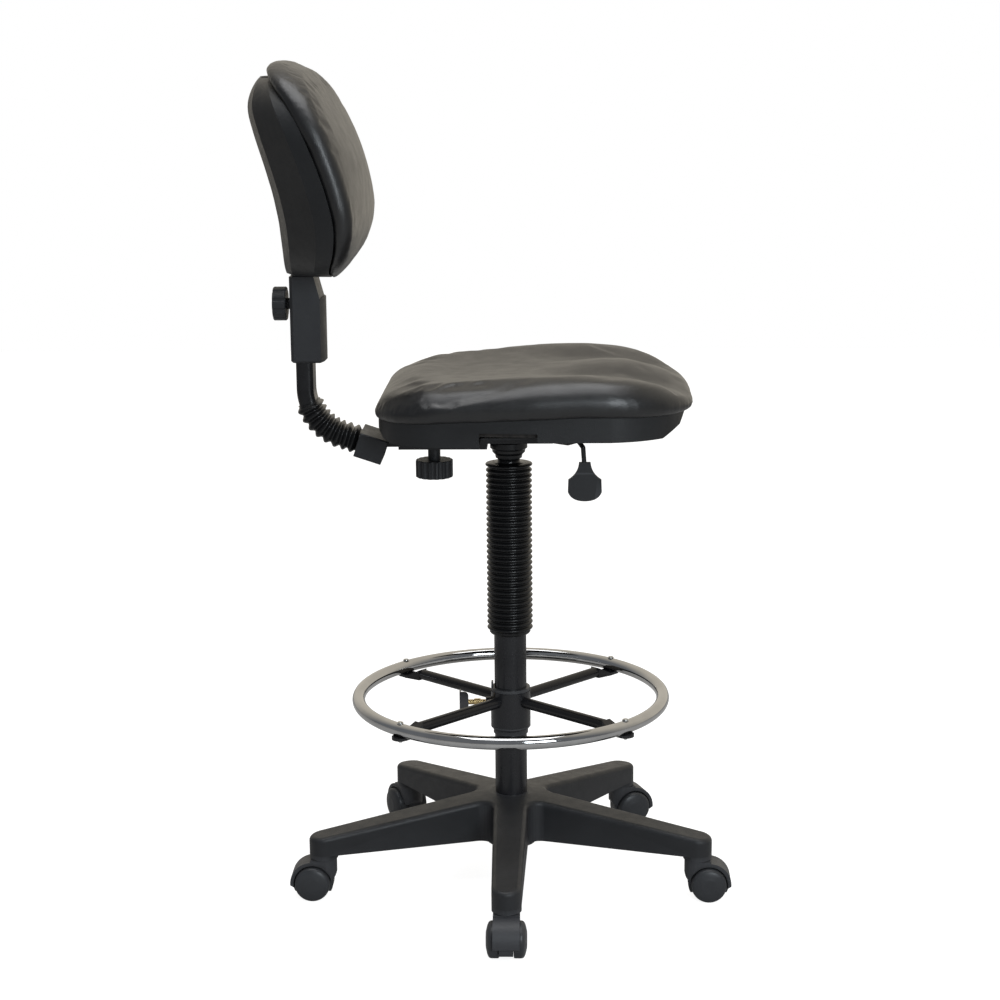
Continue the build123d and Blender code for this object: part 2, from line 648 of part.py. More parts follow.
def lever_paddle():
    """The flat plastic spade on the rod's end: hollow shoulders and a rounded foot."""
    x, y = PADDLE_X, LEVER_TURN_Y - 1
    half = PADDLE_HALF_WIDTH
    shoulder_z = PADDLE_TOP_Z - 26
    foot_z = PADDLE_BOTTOM_Z + 14
    face = make_face([
        Line((x - 8.5, PADDLE_TOP_Z), (x + 8.5, PADDLE_TOP_Z)),
        Spline((x + 8.5, PADDLE_TOP_Z), (x + 13, PADDLE_TOP_Z - 15), (x + half - 0.6, shoulder_z)),
        Line((x + half - 0.6, shoulder_z), (x + half, foot_z)),
        Spline((x + half, foot_z), (x + half - 8, PADDLE_BOTTOM_Z + 4), (x, PADDLE_BOTTOM_Z),
               (x - half + 8, PADDLE_BOTTOM_Z + 4), (x - half, foot_z)),
        Line((x - half, foot_z), (x - half + 0.6, shoulder_z)),
        Spline((x - half + 0.6, shoulder_z), (x - 13, PADDLE_TOP_Z - 15), (x - 8.5, PADDLE_TOP_Z)),
    ])
    paddle = Pos(0, y, 0) * extrude(Plane.XZ * face, PADDLE_THICKNESS / 2, both=True)
    return paddle - lever_tail()


# ---- knobs -------------------------------------------------------------------------------
def lobed_knob(radius, z0, z1, lobes):
    """A knob along Z with finger flutes round its rim."""
    knob = rod(radius, z0, z1)
    for i in range(lobes):
        knob -= rod(radius * 0.16, z0 - 1, z1 + 1, *polar(radius * 1.07, i * 360 / lobes))
    rims = [e for e in knob.edges() if e.geom_type == GeomType.CIRCLE and e.radius > radius - 0.1]
    return chamfer(rims, 1.2)


def depth_knob():
    """The clamping knob under the rear of the seat."""
    stem = rod(9.5, DEPTH_KNOB_TOP_Z, CHANNEL_BOTTOM_Z - 4.5)
    knob = lobed_knob(DEPTH_KNOB_R, DEPTH_KNOB_BOTTOM_Z, DEPTH_KNOB_TOP_Z, 16) + stem
    return Pos(DEPTH_STUD_X, 0, 0) * knob - depth_stud()


def depth_stud():
    return rod(STUD_R, DEPTH_KNOB_BOTTOM_Z + 8, CHANNEL_BOTTOM_Z + CHANNEL_HEIGHT + 6, DEPTH_STUD_X)


def height_knob():
    """The clamping knob behind the back's sleeve."""
    thickness = HEIGHT_KNOB_FRONT_X - HEIGHT_KNOB_REAR_X
    neck = rod(8.5, thickness, SLEEVE_REAR_X - HEIGHT_KNOB_REAR_X - 0.4)
    knob = lobed_knob(HEIGHT_KNOB_R, 0, thickness, 10) + neck
    return Pos(HEIGHT_KNOB_REAR_X, 0, HEIGHT_KNOB_Z) * Rot(0, 90, 0) * knob - height_stud()


def height_stud():
    tip_x = JBAR_X - JBAR_DEPTH / 2 - 0.3
    return rod_between((HEIGHT_KNOB_REAR_X + 8, 0, HEIGHT_KNOB_Z), (tip_x, 0, HEIGHT_KNOB_Z), STUD_R)


# ---- seat --------------------------------------------------------------------------------
def seat_plan(inset):
    """The seat's outline from above: narrower behind, rounded at every corner."""
    rear = SEAT_REAR_X + inset
    front = SEAT_FRONT_X - inset
    wide = SEAT_HALF_WIDTH - inset
    narrow = SEAT_REAR_HALF_WIDTH - inset
    outline = make_face(Polyline(
        (rear, -narrow), (40, -wide), (150, -wide), (front, -wide + 22),
        (front, wide - 22), (150, wide), (40, wide), (rear, narrow), close=True,
    ))
    rear_corners = outline.vertices().group_by(Axis.X)[0]
    outline = fillet(rear_corners, SEAT_REAR_CORNER_R - inset)
    front_corners = outline.vertices().group_by(Axis.X)[-1]
    return fillet(front_corners, SEAT_FRONT_CORNER_R - inset)


def seam_z(x):
    """Height of the line where the cushion meets the shell."""
    share = (x - SEAT_REAR_X) / (SEAT_FRONT_X - SEAT_REAR_X)
    return SEAM_REAR_Z + (SEAM_FRONT_Z - SEAM_REAR_Z) * min(1, 1.25 * share)


def shell_side(inset):
    """The under-seat shell's side outline, or its hollow's."""
    rear = SEAT_REAR_X + SHELL_INSET + inset
    front = SEAT_FRONT_X - SHELL_INSET - inset
    lift = inset
    top = 20 if inset else 0
    return [
        (rear, seam_z(rear) + top), (rear + 1, 742 + lift), (rear + 10, 731 + lift),
        (rear + 22, SHELL_FLOOR_Z + lift), (SHELL_FLOOR_STEP_X, SHELL_FLOOR_Z + lift),
        (SHELL_FLOOR_STEP_X + 6, SHELL_FRONT_FLOOR_Z + lift), (front - 38, SHELL_FRONT_FLOOR_Z + lift),
        (front - 12, 750 + lift), (front, seam_z(front) + top), (178, seam_z(178) + top),
    ]


def seat_shell():
    """The moulded cover under the seat, with a notch on each side for an armrest bracket."""
    outer = extrude(seat_plan(SHELL_INSET), 900) & side_slab(shell_side(0), 300)
    hollow = extrude(seat_plan(SHELL_INSET + SHELL_WALL), 900) & side_slab(shell_side(SHELL_WALL), 300)
    shell = outer - hollow
    for x, y in seat_bolt_points():
        shell += rod(BOSS_R, SHELL_FLOOR_Z + 1, BOARD_BOTTOM_Z, x, y)
        shell -= rod(SEAT_BOLT_R + 0.3, SHELL_FLOOR_Z - 1, BOARD_BOTTOM_Z + 1, x, y)
    for side in (-1, 1):
        y0, y1 = sorted((side * (ARM_BOLT_Y - 27), side * (SEAT_HALF_WIDTH + 10)))
        shell -= block(ARM_BOLT_X - ARM_NOTCH_HALF, ARM_BOLT_X + ARM_NOTCH_HALF, y0, y1,
                       SHELL_FLOOR_Z - 5, 748)
    return shell - block(-12, 60, -30, 12, SHELL_FLOOR_Z - 5, SHELL_FLOOR_Z + 5)


def arm_bolt_points():
    half = ARM_BOLT_SPACING / 2
    return [(ARM_BOLT_X + dx, side * ARM_BOLT_Y) for side in (-1, 1) for dx in (-half, half)]


def seat_board():
    """The plywood board that carries the cushion, bored for its nuts."""
    board = extrude(Pos(0, 0, BOARD_BOTTOM_Z) * seat_plan(SHELL_INSET + SHELL_WALL + 9), BOARD_THICKNESS)
    board &= side_slab(shell_side(SHELL_WALL + 2), 300)
    for x, y in seat_bolt_points() + arm_bolt_points():
        board -= rod(4.2, BOARD_BOTTOM_Z - 1, BOARD_BOTTOM_Z + BOARD_THICKNESS + 1, x, y)
    return board


def tee_nut(x, y):
    """A flanged nut driven into the board from above."""
    top = BOARD_BOTTOM_Z + BOARD_THICKNESS
    nut = rod(9, top, top + 1.5, x, y) + rod(4.2, top - 10, top + 0.5, x, y)
    return nut - rod(SEAT_BOLT_R, top - 11, top + 2, x, y)


def seat_cushion():
    """The padded seat: a dished top, a raised front and a skirt down into the shell."""
    top = Spline(
        (SEAT_REAR_X, 766), (SEAT_REAR_X + 16, 794), (-120, 806), (-40, 811), (50, 821), (130, 826),
        (200, 821), (SEAT_FRONT_X - 14, 799), (SEAT_FRONT_X, 778),
    )
    rear_seam = seam_z(SEAT_REAR_X) + 0.4
    under = Polyline(
        (SEAT_FRONT_X, 778), (SEAT_FRONT_X, SEAM_FRONT_Z + 0.4), (178, SEAM_FRONT_Z + 0.4),
        (SEAT_REAR_X, rear_seam), (SEAT_REAR_X, 766),
    )
    upper = extrude(Plane.XZ * make_face([top, under]), 300, both=True)
    upper &= extrude(seat_plan(0), 1000)
    bottom_z = BOARD_BOTTOM_Z + BOARD_THICKNESS + 1.6
    skirt = extrude(Pos(0, 0, bottom_z) * seat_plan(SHELL_INSET + SHELL_WALL + 6), 24)
    skirt &= side_slab(shell_side(SHELL_WALL + 2), 300)
    crown = [e for e in upper.edges() if (e @ 0.5).Z > 784]
    return fillet(crown, 10) + skirt


# ---- back --------------------------------------------------------------------------------
def jbar_section(grow=0.0):
    """The J-bar's rounded flat section, across its depth and width."""
    return RectangleRounded(JBAR_DEPTH + 2 * grow, 2 * (JBAR_HALF_WIDTH + grow), 8)


def jbar_nose():
    """The bend's lower end: where the bar leaves it, and the way it then points."""
    turn = 90 - JBAR_NOSE_DOWN
    centre_x = JBAR_X + JBAR_BEND_R
    x = centre_x - JBAR_BEND_R * cos(radians(turn))
    z = JBAR_BEND_TOP_Z - JBAR_BEND_R * sin(radians(turn))
    return Vector(x, 0, z), Vector(sin(radians(turn)), 0, -cos(radians(turn)))


def jbar_solid(grow, top_z, nose_length):
    """The J-bar's path filled with its section: down, round the bend and out to the nose."""
    straight = extrude(Pos(JBAR_X, 0, JBAR_BEND_TOP_Z) * jbar_section(grow), top_z - JBAR_BEND_TOP_Z)
    bend_axis = Axis((JBAR_X + JBAR_BEND_R, 0, JBAR_BEND_TOP_Z), (0, -1, 0))
    start = Pos(JBAR_X, 0, JBAR_BEND_TOP_Z) * jbar_section(grow)
    bend = revolve(start, bend_axis, 90 - JBAR_NOSE_DOWN)
    point, way = jbar_nose()
    end = Plane(origin=point, x_dir=(-way.Z, 0, way.X), z_dir=way) * jbar_section(grow)
    return straight + bend + extrude(end, nose_length)


def j_bar():
    """The bent flat-oval tube that carries the back."""
    return jbar_solid(0, JBAR_TOP_Z, NOSE_LENGTH) - jbar_solid(-JBAR_WALL, JBAR_TOP_Z + 1, NOSE_LENGTH + 1)


def nose_frame(distance):
    """A frame on the bar's nose: local Z along it, local X across its depth."""
    point, way = jbar_nose()
    return Plane(origin=point + way * distance, x_dir=(-way.Z, 0, way.X), z_dir=way)


def tongue():
    """The flat steel tongue welded to the bar's end, slotted for the clamping stud."""
    frame = nose_frame(NOSE_LENGTH)
    cap = extrude(frame * jbar_section(), 4)
    top = TONGUE_Z + TONGUE_THICKNESS
    bar = block(frame.origin.X + 2, TONGUE_FRONT_X, -TONGUE_HALF_WIDTH, TONGUE_HALF_WIDTH, TONGUE_Z, top)
    slot_end = DEPTH_STUD_X + DEPTH_TRAVEL
    slot = block(DEPTH_STUD_X, slot_end, -STUD_R - 0.4, STUD_R + 0.4, TONGUE_Z - 1, top + 1)
    slot += rod(STUD_R + 0.4, TONGUE_Z - 1, top + 1, DEPTH_STUD_X)
    slot += rod(STUD_R + 0.4, TONGUE_Z - 1, top + 1, slot_end)
    inside = extrude(nose_frame(0) * Rectangle(200, 200), NOSE_LENGTH)
    return cap + (bar - slot - inside)


def jbar_cover():
    """The plastic end cover over the bar's weld, open towards the mechanism."""
    rear = nose_frame(COVER_START)
    shape = extrude(rear * RectangleRounded(COVER_HEIGHT, 2 * COVER_HALF_WIDTH, 3), COVER_LENGTH)
    hollow = extrude(
        nose_frame(COVER_START + 4) * RectangleRounded(COVER_HEIGHT - 6, 2 * COVER_HALF_WIDTH - 6, 2),
        COVER_LENGTH,
    )
    return shape - hollow - extrude(rear * jbar_section(), COVER_LENGTH)


def boot_frame(distance):
    """A frame on the bar's path, a distance along it from the top of the bend."""
    bend_length = JBAR_BEND_R * radians(90 - JBAR_NOSE_DOWN)
    if distance > bend_length:
        return nose_frame(distance - bend_length)
    angle = distance / JBAR_BEND_R
    x = JBAR_X + JBAR_BEND_R * (1 - cos(angle))
    z = JBAR_BEND_TOP_Z - JBAR_BEND_R * sin(angle)
    return Plane(origin=(x, 0, z), x_dir=(cos(angle), 0, sin(angle)), z_dir=(sin(angle), 0, -cos(angle)))


def jbar_boot():
    """The folded rubber boot round the bar's bend."""
    axis = Axis((JBAR_X + JBAR_BEND_R, 0, JBAR_BEND_TOP_Z), (0, -1, 0))
    first = degrees(BOOT_START / JBAR_BEND_R)
    core = revolve(boot_frame(BOOT_START) * jbar_section(BOOT_VALLEY), axis, 90 - JBAR_NOSE_DOWN - first)
    core += extrude(nose_frame(0) * jbar_section(BOOT_VALLEY), COVER_START - 0.3)
    for i in range(BOOT_FOLDS):
        middle = BOOT_START + 6 + i * BOOT_PITCH
        ridge = boot_frame(middle - BOOT_RIDGE_WIDTH / 2) * jbar_section(BOOT_RIDGE)
        core += extrude(ridge, BOOT_RIDGE_WIDTH)
    return core - jbar_solid(BOOT_INNER_GAP, JBAR_TOP_Z, NOSE_LENGTH)


def bracket_bore(grow, z0, z1):
    section = RectangleRounded(JBAR_DEPTH + 2 * grow, 2 * (JBAR_HALF_WIDTH + grow), 8)
    return extrude(Pos(JBAR_X, 0, z0) * section, z1 - z0)


def back_bracket():
    """The steel socket that slides on the J-bar, with the plate screwed to the back board."""
    outer = bracket_bore(BRACKET_GAP + BRACKET_WALL, BRACKET_BOTTOM_Z, BRACKET_TOP_Z)
    plate_front = -BACK_BOARD_THICKNESS - 1.4
    plate = back_slab(plate_front - 3, plate_front, 1004, 1074, 52)
    web = block(JBAR_X, LUMBAR_X, -16, 16, 1008, 1070)
    web &= back_slab(JBAR_X - LUMBAR_X, plate_front - 1, 1006, 1072, 52)
    bracket = outer + plate + web - bracket_bore(BRACKET_GAP, BRACKET_BOTTOM_Z - 1, BRACKET_TOP_Z + 1)
    for y, z in back_screw_points():
        bracket -= rod_between((-320, y, z), (-200, y, z), 2.5)
    return bracket - rod_between((-400, 0, HEIGHT_KNOB_Z), (JBAR_X, 0, HEIGHT_KNOB_Z), STUD_R + RUNNING_GAP)


def back_screw_points():
    return [(y, z) for y in (-40, 40) for z in (1016, 1062)]


def back_sleeve():
    """The plastic box over the steel socket, with a crowned front and a sloping shoulder."""
    w = SLEEVE_HALF_WIDTH
    section = make_face([
        Line((SLEEVE_REAR_X, -w + 5), (SLEEVE_REAR_X, w - 5)),
        Line((SLEEVE_REAR_X, w - 5), (SLEEVE_REAR_X + 5, w)),
        Line((SLEEVE_REAR_X + 5, w), (SLEEVE_FRONT_X, w)),
        ThreePointArc((SLEEVE_FRONT_X, w), (SLEEVE_FRONT_X + SLEEVE_CROWN, 0), (SLEEVE_FRONT_X, -w)),
        Line((SLEEVE_FRONT_X, -w), (SLEEVE_REAR_X + 5, -w)),
        Line((SLEEVE_REAR_X + 5, -w), (SLEEVE_REAR_X, -w + 5)),
    ])
    sleeve = extrude(Pos(0, 0, SLEEVE_BOTTOM_Z) * section, SLEEVE_TOP_Z - SLEEVE_BOTTOM_Z)
    shoulder = [(SLEEVE_FRONT_X + 10, 922), (SLEEVE_FRONT_X, 922), (SLEEVE_FRONT_X - 9, SLEEVE_TOP_Z + 1),
                (SLEEVE_FRONT_X + 10, SLEEVE_TOP_Z + 1)]
    sleeve -= side_slab(shoulder, 60)
    foot = sleeve.edges().group_by(Axis.Z)[0]
    sleeve = chamfer(foot, 3)
    sleeve -= bracket_bore(BRACKET_GAP + BRACKET_WALL, BRACKET_BOTTOM_Z, SLEEVE_TOP_Z + 1)
    sleeve -= bracket_bore(BRACKET_GAP, SLEEVE_BOTTOM_Z - 1, BRACKET_BOTTOM_Z + 1)
    return sleeve - rod_between((-400, 0, HEIGHT_KNOB_Z), (JBAR_X, 0, HEIGHT_KNOB_Z), STUD_R + RUNNING_GAP)


def back_seam_x(z):
    """Where the back's cushion meets its shell, seen from the side: a lumbar curve."""
    rise = z - LUMBAR_Z
    bend = LUMBAR_BEND if rise > 0 else LUMBAR_BEND * 1.35
    return LUMBAR_X - bend * abs(rise) ** LUMBAR_POWER


def back_half_width(z, top_z, bottom_z, half_width):
    """Half the back's width at a height, on a rounded-square outline."""
    middle = (top_z + bottom_z) / 2
    share = min(1, abs(z - middle) / (top_z - middle))
    return half_width * (1 - share ** BACK_ROUNDNESS) ** (1 / BACK_ROUNDNESS)


def back_heights(top_z, bottom_z, margin):
    """Heights for the back's cross-sections, closer together near its top and bottom."""
    count = 24
    middle = (top_z + bottom_z) / 2
    half = (top_z - bottom_z) / 2 - margin
    return [middle - half * cos(pi * i / count) for i in range(count + 1)]


def back_slab(rear_offset, front_offset, z0, z1, half_width):
    """A slab that follows the back's lumbar curve."""
    steps = round((z1 - z0) / 10)
    heights = [z0 + (z1 - z0) * i / steps for i in range(steps + 1)]
    front = [(back_seam_x(z) + front_offset, z) for z in heights]
    rear = [(back_seam_x(z) + rear_offset, z) for z in reversed(heights)]
    return side_slab(front + rear, half_width)


def back_outline(inset):
    """The back's front view, thickened along X."""
    top = BACK_SHELL_TOP_Z - inset
    bottom = BACK_BOTTOM_Z + 3 + inset
    heights = back_heights(top, bottom, 0)
    half = BACK_HALF_WIDTH - inset
    right = [(back_half_width(z, top, bottom, half), z) for z in heights]
    left = [(-y, z) for y, z in reversed(right[1:-1])]
    face = make_face(Polyline([(-420, y, z) for y, z in right + left], close=True))
    return extrude(face, 300, dir=(1, 0, 0))


def shell_depth(z):
    """How deep the back's shell is behind its seam: drawn in a little below, slanted at the top."""
    middle = (BACK_SHELL_TOP_Z + BACK_BOTTOM_Z) / 2
    if z < middle:
        return BACK_SHELL_DEPTH * (1 - 0.22 * ((middle - z) / (middle - BACK_BOTTOM_Z)) ** 3)
    slant = max(0, 1 - (BACK_SHELL_TOP_Z - z) / BACK_SHELL_SLOPE)
    return BACK_SHELL_DEPTH * (1 - 0.52 * slant ** 1.3)


def shell_section(z, inset, front_gap):
    """The back shell's cross-section: flat rear, three facets a side and an open front."""
    top = BACK_SHELL_TOP_Z - inset
    bottom = BACK_BOTTOM_Z + 3 + inset
    wide = max(6, back_half_width(z, top, bottom, BACK_HALF_WIDTH - inset))
    depth = shell_depth(z) - inset
    front_x = back_seam_x(z) + front_gap
    seam_x = back_seam_x(z)
    facets = [(seam_x - depth * back, wide * across) for back, across in BACK_SHELL_FACETS]
    half = [(front_x, wide), (seam_x - 4, wide)] + facets
    other = [(x, -y) for x, y in reversed(half)]
    return make_face(Polyline([(x, y, z) for x, y in half + other], close=True))


def back_shell():
    """The faceted cover behind the back, with a slot below for the sliding socket."""
    heights = back_heights(BACK_SHELL_TOP_Z, BACK_BOTTOM_Z + 3, 1.5)
    outer = loft([shell_section(z, 0, 0) for z in heights], ruled=True)
    inner_heights = back_heights(BACK_SHELL_TOP_Z - 4, BACK_BOTTOM_Z + 7, 1.5)
    inner = loft([shell_section(z, BACK_SHELL_WALL + 1, 6) for z in inner_heights], ruled=True)
    slot = bracket_bore(BRACKET_GAP + BRACKET_WALL + 2.5, SLEEVE_TOP_Z - 30, 1000)
    return outer - inner - slot - back_sleeve_room()


def back_sleeve_room():
    """Clear space round the sleeve's top."""
    return block(SLEEVE_REAR_X - 0.3, SLEEVE_FRONT_X + 12, -SLEEVE_HALF_WIDTH - 0.3, SLEEVE_HALF_WIDTH + 0.3,
                 SLEEVE_BOTTOM_Z, SLEEVE_TOP_Z + 0.3)


def back_board():
    """The moulded plywood board inside the back, notched for the sliding socket."""
    slab = back_slab(-BACK_BOARD_THICKNESS - 1, -1, BACK_BOTTOM_Z + 22, BACK_SHELL_TOP_Z - 28, 300)
    board = slab & back_outline(20)
    board -= block(-330, -200, -SLEEVE_HALF_WIDTH, SLEEVE_HALF_WIDTH, BACK_BOTTOM_Z, 1000)
    for y, z in back_screw_points():
        board -= rod_between((-320, y, z), (-200, y, z), WOOD_SCREW_R)
    return board


def back_screw(y, z):
    """A wood screw from the bracket's plate forward into the board."""
    head_x = back_seam_x(z) - BACK_BOARD_THICKNESS - 6.4
    shank = rod_between((head_x, y, z), (back_seam_x(z) - 3, y, z), WOOD_SCREW_R)
    return shank + rod_between((head_x - 2.5, y, z), (head_x, y, z), 4.5)


def cushion_section(z):
    """The back cushion's cross-section at a height: flat behind, crowned in front."""
    wide = max(8, back_half_width(z, BACK_TOP_Z, BACK_BOTTOM_Z, BACK_HALF_WIDTH + 1))
    share = abs(z - (BACK_TOP_Z + BACK_BOTTOM_Z) / 2) / ((BACK_TOP_Z - BACK_BOTTOM_Z) / 2)
    side = max(3, CUSHION_SIDE * (1 - share ** 8) ** 0.5)
    crown = side + max(1, CUSHION_CROWN * (1 - share ** 2.5))
    rear = back_seam_x(z) + 1 + max(0, z - 1248)
    return make_face([
        Line((rear, -wide, z), (rear + side, -wide, z)),
        Spline((rear + side, -wide, z), (rear + crown, 0, z), (rear + side, wide, z)),
        Line((rear + side, wide, z), (rear, wide, z)),
        Line((rear, wide, z), (rear, -wide, z)),
    ])


def back_cushion():
    """The padded back, following the lumbar curve."""
    return loft([cushion_section(z) for z in back_heights(BACK_TOP_Z, BACK_BOTTOM_Z, 1)], ruled=True)


def write_casters():
    for i in range(LEG_COUNT):
        place = caster_place(i)
        number = i + 1
        save(f"caster_{number}_hood", place * caster_hood())
        save(f"caster_{number}_axle", place * caster_cross_rod(AXLE_R, 27))
        save(f"caster_{number}_wheel_left", place * caster_wheel(1))
        save(f"caster_{number}_wheel_right", place * caster_wheel(-1))
    save("caster_stems", group(caster_place(i) * caster_stem() for i in range(LEG_COUNT)))


def write_column():
    save("base_star", base_star())
    save("stand_tube", stand_tube())
    save("guide_bush", guide_bush())
    save("piston_rod", piston_rod())
    save("gas_cylinder", gas_cylinder())
    save("valve_button", valve_button())
    save("column_bellows", column_bellows())


def write_foot_ring():
    save("ring_bush", ring_bush())
    save("ring_collar", ring_collar())
    save("foot_ring", foot_ring())
    save("ring_spokes", group(ring_spoke(i) for i in range(SPOKE_COUNT)))
    save("ring_screws", group(ring_screw(i) for i in range(SPOKE_COUNT)))
    save("clamp_screw", clamp_screw())
    save("clamp_handle", clamp_handle())


def write_seat():
    save("mech_plate", mech_plate())
    save("mech_socket", mech_socket())
    save("mech_channel", mech_channel())
    save("mech_bolts", group(mech_bolt(x, y) for x, y in seat_bolt_points()))
    save("lever_rod", lever_rod())
    save("lever_hanger", lever_hanger())
    save("lever_paddle", lever_paddle())
    save("depth_knob", depth_knob())
    save("depth_stud", depth_stud())
    save("seat_shell", seat_shell())
    save("seat_board", seat_board())
    save("seat_nuts", group(tee_nut(x, y) for x, y in seat_bolt_points() + arm_bolt_points()))
    save("seat_cushion", seat_cushion())


def write_back():
    save("j_bar", j_bar())
    save("tongue", tongue())
    save("jbar_cover", jbar_cover())
    save("jbar_boot", jbar_boot())
    save("back_bracket", back_bracket())
    save("back_sleeve", back_sleeve())
    save("height_knob", height_knob())
    save("height_stud", height_stud())
    save("back_shell", back_shell())
    save("back_board", back_board())
    save("back_screws", group(back_screw(y, z) for y, z in back_screw_points()))
    save("back_cushion", back_cushion())


os.makedirs("parts", exist_ok=True)
write_casters()
write_column()
write_foot_ring()
write_seat()
write_back()
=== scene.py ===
import bpy
import json
import math
import numpy as np
from mathutils import Matrix, Vector, noise


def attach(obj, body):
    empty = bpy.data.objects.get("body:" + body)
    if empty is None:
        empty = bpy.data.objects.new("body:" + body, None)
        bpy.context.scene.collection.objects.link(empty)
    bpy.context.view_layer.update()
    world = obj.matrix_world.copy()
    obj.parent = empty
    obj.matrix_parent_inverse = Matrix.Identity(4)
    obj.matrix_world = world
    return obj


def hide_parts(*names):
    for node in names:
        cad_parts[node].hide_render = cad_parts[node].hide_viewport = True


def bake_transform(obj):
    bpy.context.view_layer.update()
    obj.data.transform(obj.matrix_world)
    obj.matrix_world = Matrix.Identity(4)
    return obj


# A drafting chair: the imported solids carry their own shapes, and this script gives them their
# finishes, then replaces the soft and folded ones with detailed pieces. Metres throughout.

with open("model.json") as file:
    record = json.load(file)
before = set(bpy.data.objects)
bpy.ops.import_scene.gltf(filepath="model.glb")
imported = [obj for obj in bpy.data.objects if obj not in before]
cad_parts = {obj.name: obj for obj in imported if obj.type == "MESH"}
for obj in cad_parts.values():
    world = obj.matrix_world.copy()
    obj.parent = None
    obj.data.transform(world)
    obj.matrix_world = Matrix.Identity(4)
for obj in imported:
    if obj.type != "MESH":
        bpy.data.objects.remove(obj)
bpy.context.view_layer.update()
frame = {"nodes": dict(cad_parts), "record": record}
NODES = frame["nodes"]

# ---- sizes shared with the solids ---------------------------------------------------------
SEAT_REAR_X = -0.195
SEAT_FRONT_X = 0.271
SEAT_CENTRE_X = 0.04
SEAT_HALF_WIDTH = 0.218
SEAT_END_HALF_WIDTH = 0.196
SEAM_REAR_Z = 0.7564
SEAM_FRONT_Z = 0.7754
BACK_HALF_WIDTH = 0.196
BACK_TOP_Z = 1.2705
BACK_BOTTOM_Z = 0.9575
BACK_SQUARENESS = 3.2  # exponent of the back's front outline: 2 is an ellipse, more is squarer
SHELL_TOP_Z = 1.2505
SHELL_BOTTOM_Z = 0.957
SHELL_FACETS = ((0.27, 0.975), (0.80, 0.70), (1.0, 0.40))  # facet corners, shares of depth and half width
SHELL_WALL = 0.003
BELLOWS_BOTTOM_Z = 0.4035
BELLOWS_TOP_Z = 0.6600
JBAR_X = -0.307
JBAR_BEND_R = 0.078
JBAR_BEND_TOP_Z = 0.785
JBAR_NOSE_DOWN = math.radians(18.6)
BOOT_START = 0.024  # along the bar, from the top of its bend

# ---- how the soft pieces swell and fold ---------------------------------------------------
ROLL_SQUARENESS = 3.3  # 2 rolls over in a quarter circle, more is squarer
SIDE_BULGE = 0.0035  # how far the seat cushion's side swells beyond its seam
FRONT_LAP = 0.009  # how far the seat cushion hangs over its shell's rim in front
SEAT_VOXEL = 0.005
BACK_VOXEL = 0.004
STUFFING_PRESSURE = 3.0
CLOTH_FRAMES = 20
BELLOWS_FOLDS = 30
BELLOWS_ROOT_R = 0.0312
BELLOWS_FOLD_DEPTH = 0.0042
BOOT_FOLDS = 8
BOOT_PITCH = 0.0122


# ---- materials ----------------------------------------------------------------------------
class Nodes:
    """A short way to add and join shader nodes."""

    def __init__(self, name):
        self.material = bpy.data.materials.new(name)
        self.material.use_nodes = True
        self.tree = self.material.node_tree
        self.shader = self.tree.nodes["Principled BSDF"]
        self.place = self.add("ShaderNodeTexCoord").outputs["Object"]

    def add(self, kind, **settings):
        node = self.tree.nodes.new(kind)
        for key, value in settings.items():
            if key in node.inputs:
                node.inputs[key].default_value = value
            else:
                setattr(node, key, value)
        return node

    def link(self, source, target):
        self.tree.links.new(source, target)

    def noise(self, scale, detail=4.0, stretch=None):
        node = self.add("ShaderNodeTexNoise", Scale=scale, Detail=detail, Roughness=0.6)
        self.link(self.stretched(stretch), node.inputs["Vector"])
        return node.outputs["Fac"]

    def cells(self, scale, stretch=None):
        node = self.add("ShaderNodeTexVoronoi", Scale=scale, feature="DISTANCE_TO_EDGE")
        self.link(self.stretched(stretch), node.inputs["Vector"])
        return node.outputs["Distance"]

    def stretched(self, stretch):
        if stretch is None:
            return self.place
        mapping = self.add("ShaderNodeMapping")
        mapping.inputs["Scale"].default_value = stretch
        self.link(self.place, mapping.inputs["Vector"])
        return mapping.outputs["Vector"]

    def remap(self, source, low, high, out_low, out_high):
        node = self.add("ShaderNodeMapRange")
        limits = {"From Min": low, "From Max": high, "To Min": out_low, "To Max": out_high}
        for key, value in limits.items():
            node.inputs[key].default_value = value
        self.link(source, node.inputs["Value"])
        return node.outputs["Result"]

    def mix(self, factor, first, second):
        node = self.add("ShaderNodeMix", data_type="RGBA")
        self.link(factor, node.inputs["Factor"])
        for socket, value in ((node.inputs[6], first), (node.inputs[7], second)):
            if isinstance(value, tuple):
                socket.default_value = (*value, 1)
            else:
                self.link(value, socket)
        return node.outputs[2]

    def bump(self, height, distance, strength, under=None):
        node = self.add("ShaderNodeBump", Distance=distance, Strength=strength)
        self.link(height, node.inputs["Height"])
        if under is not None:
            self.link(under, node.inputs["Normal"])
        return node.outputs["Normal"]

    def edges(self):
        """Near 1 on outer edges, 0 elsewhere; the materials paint a highlight there."""
        geometry = self.add("ShaderNodeNewGeometry")
        return self.remap(geometry.outputs["Pointiness"], 0.52, 0.60, 0.0, 1.0)

    def set(self, name, source):
        if hasattr(source, "is_linked"):
            self.link(source, self.shader.inputs[name])
        else:
            self.shader.inputs[name].default_value = source


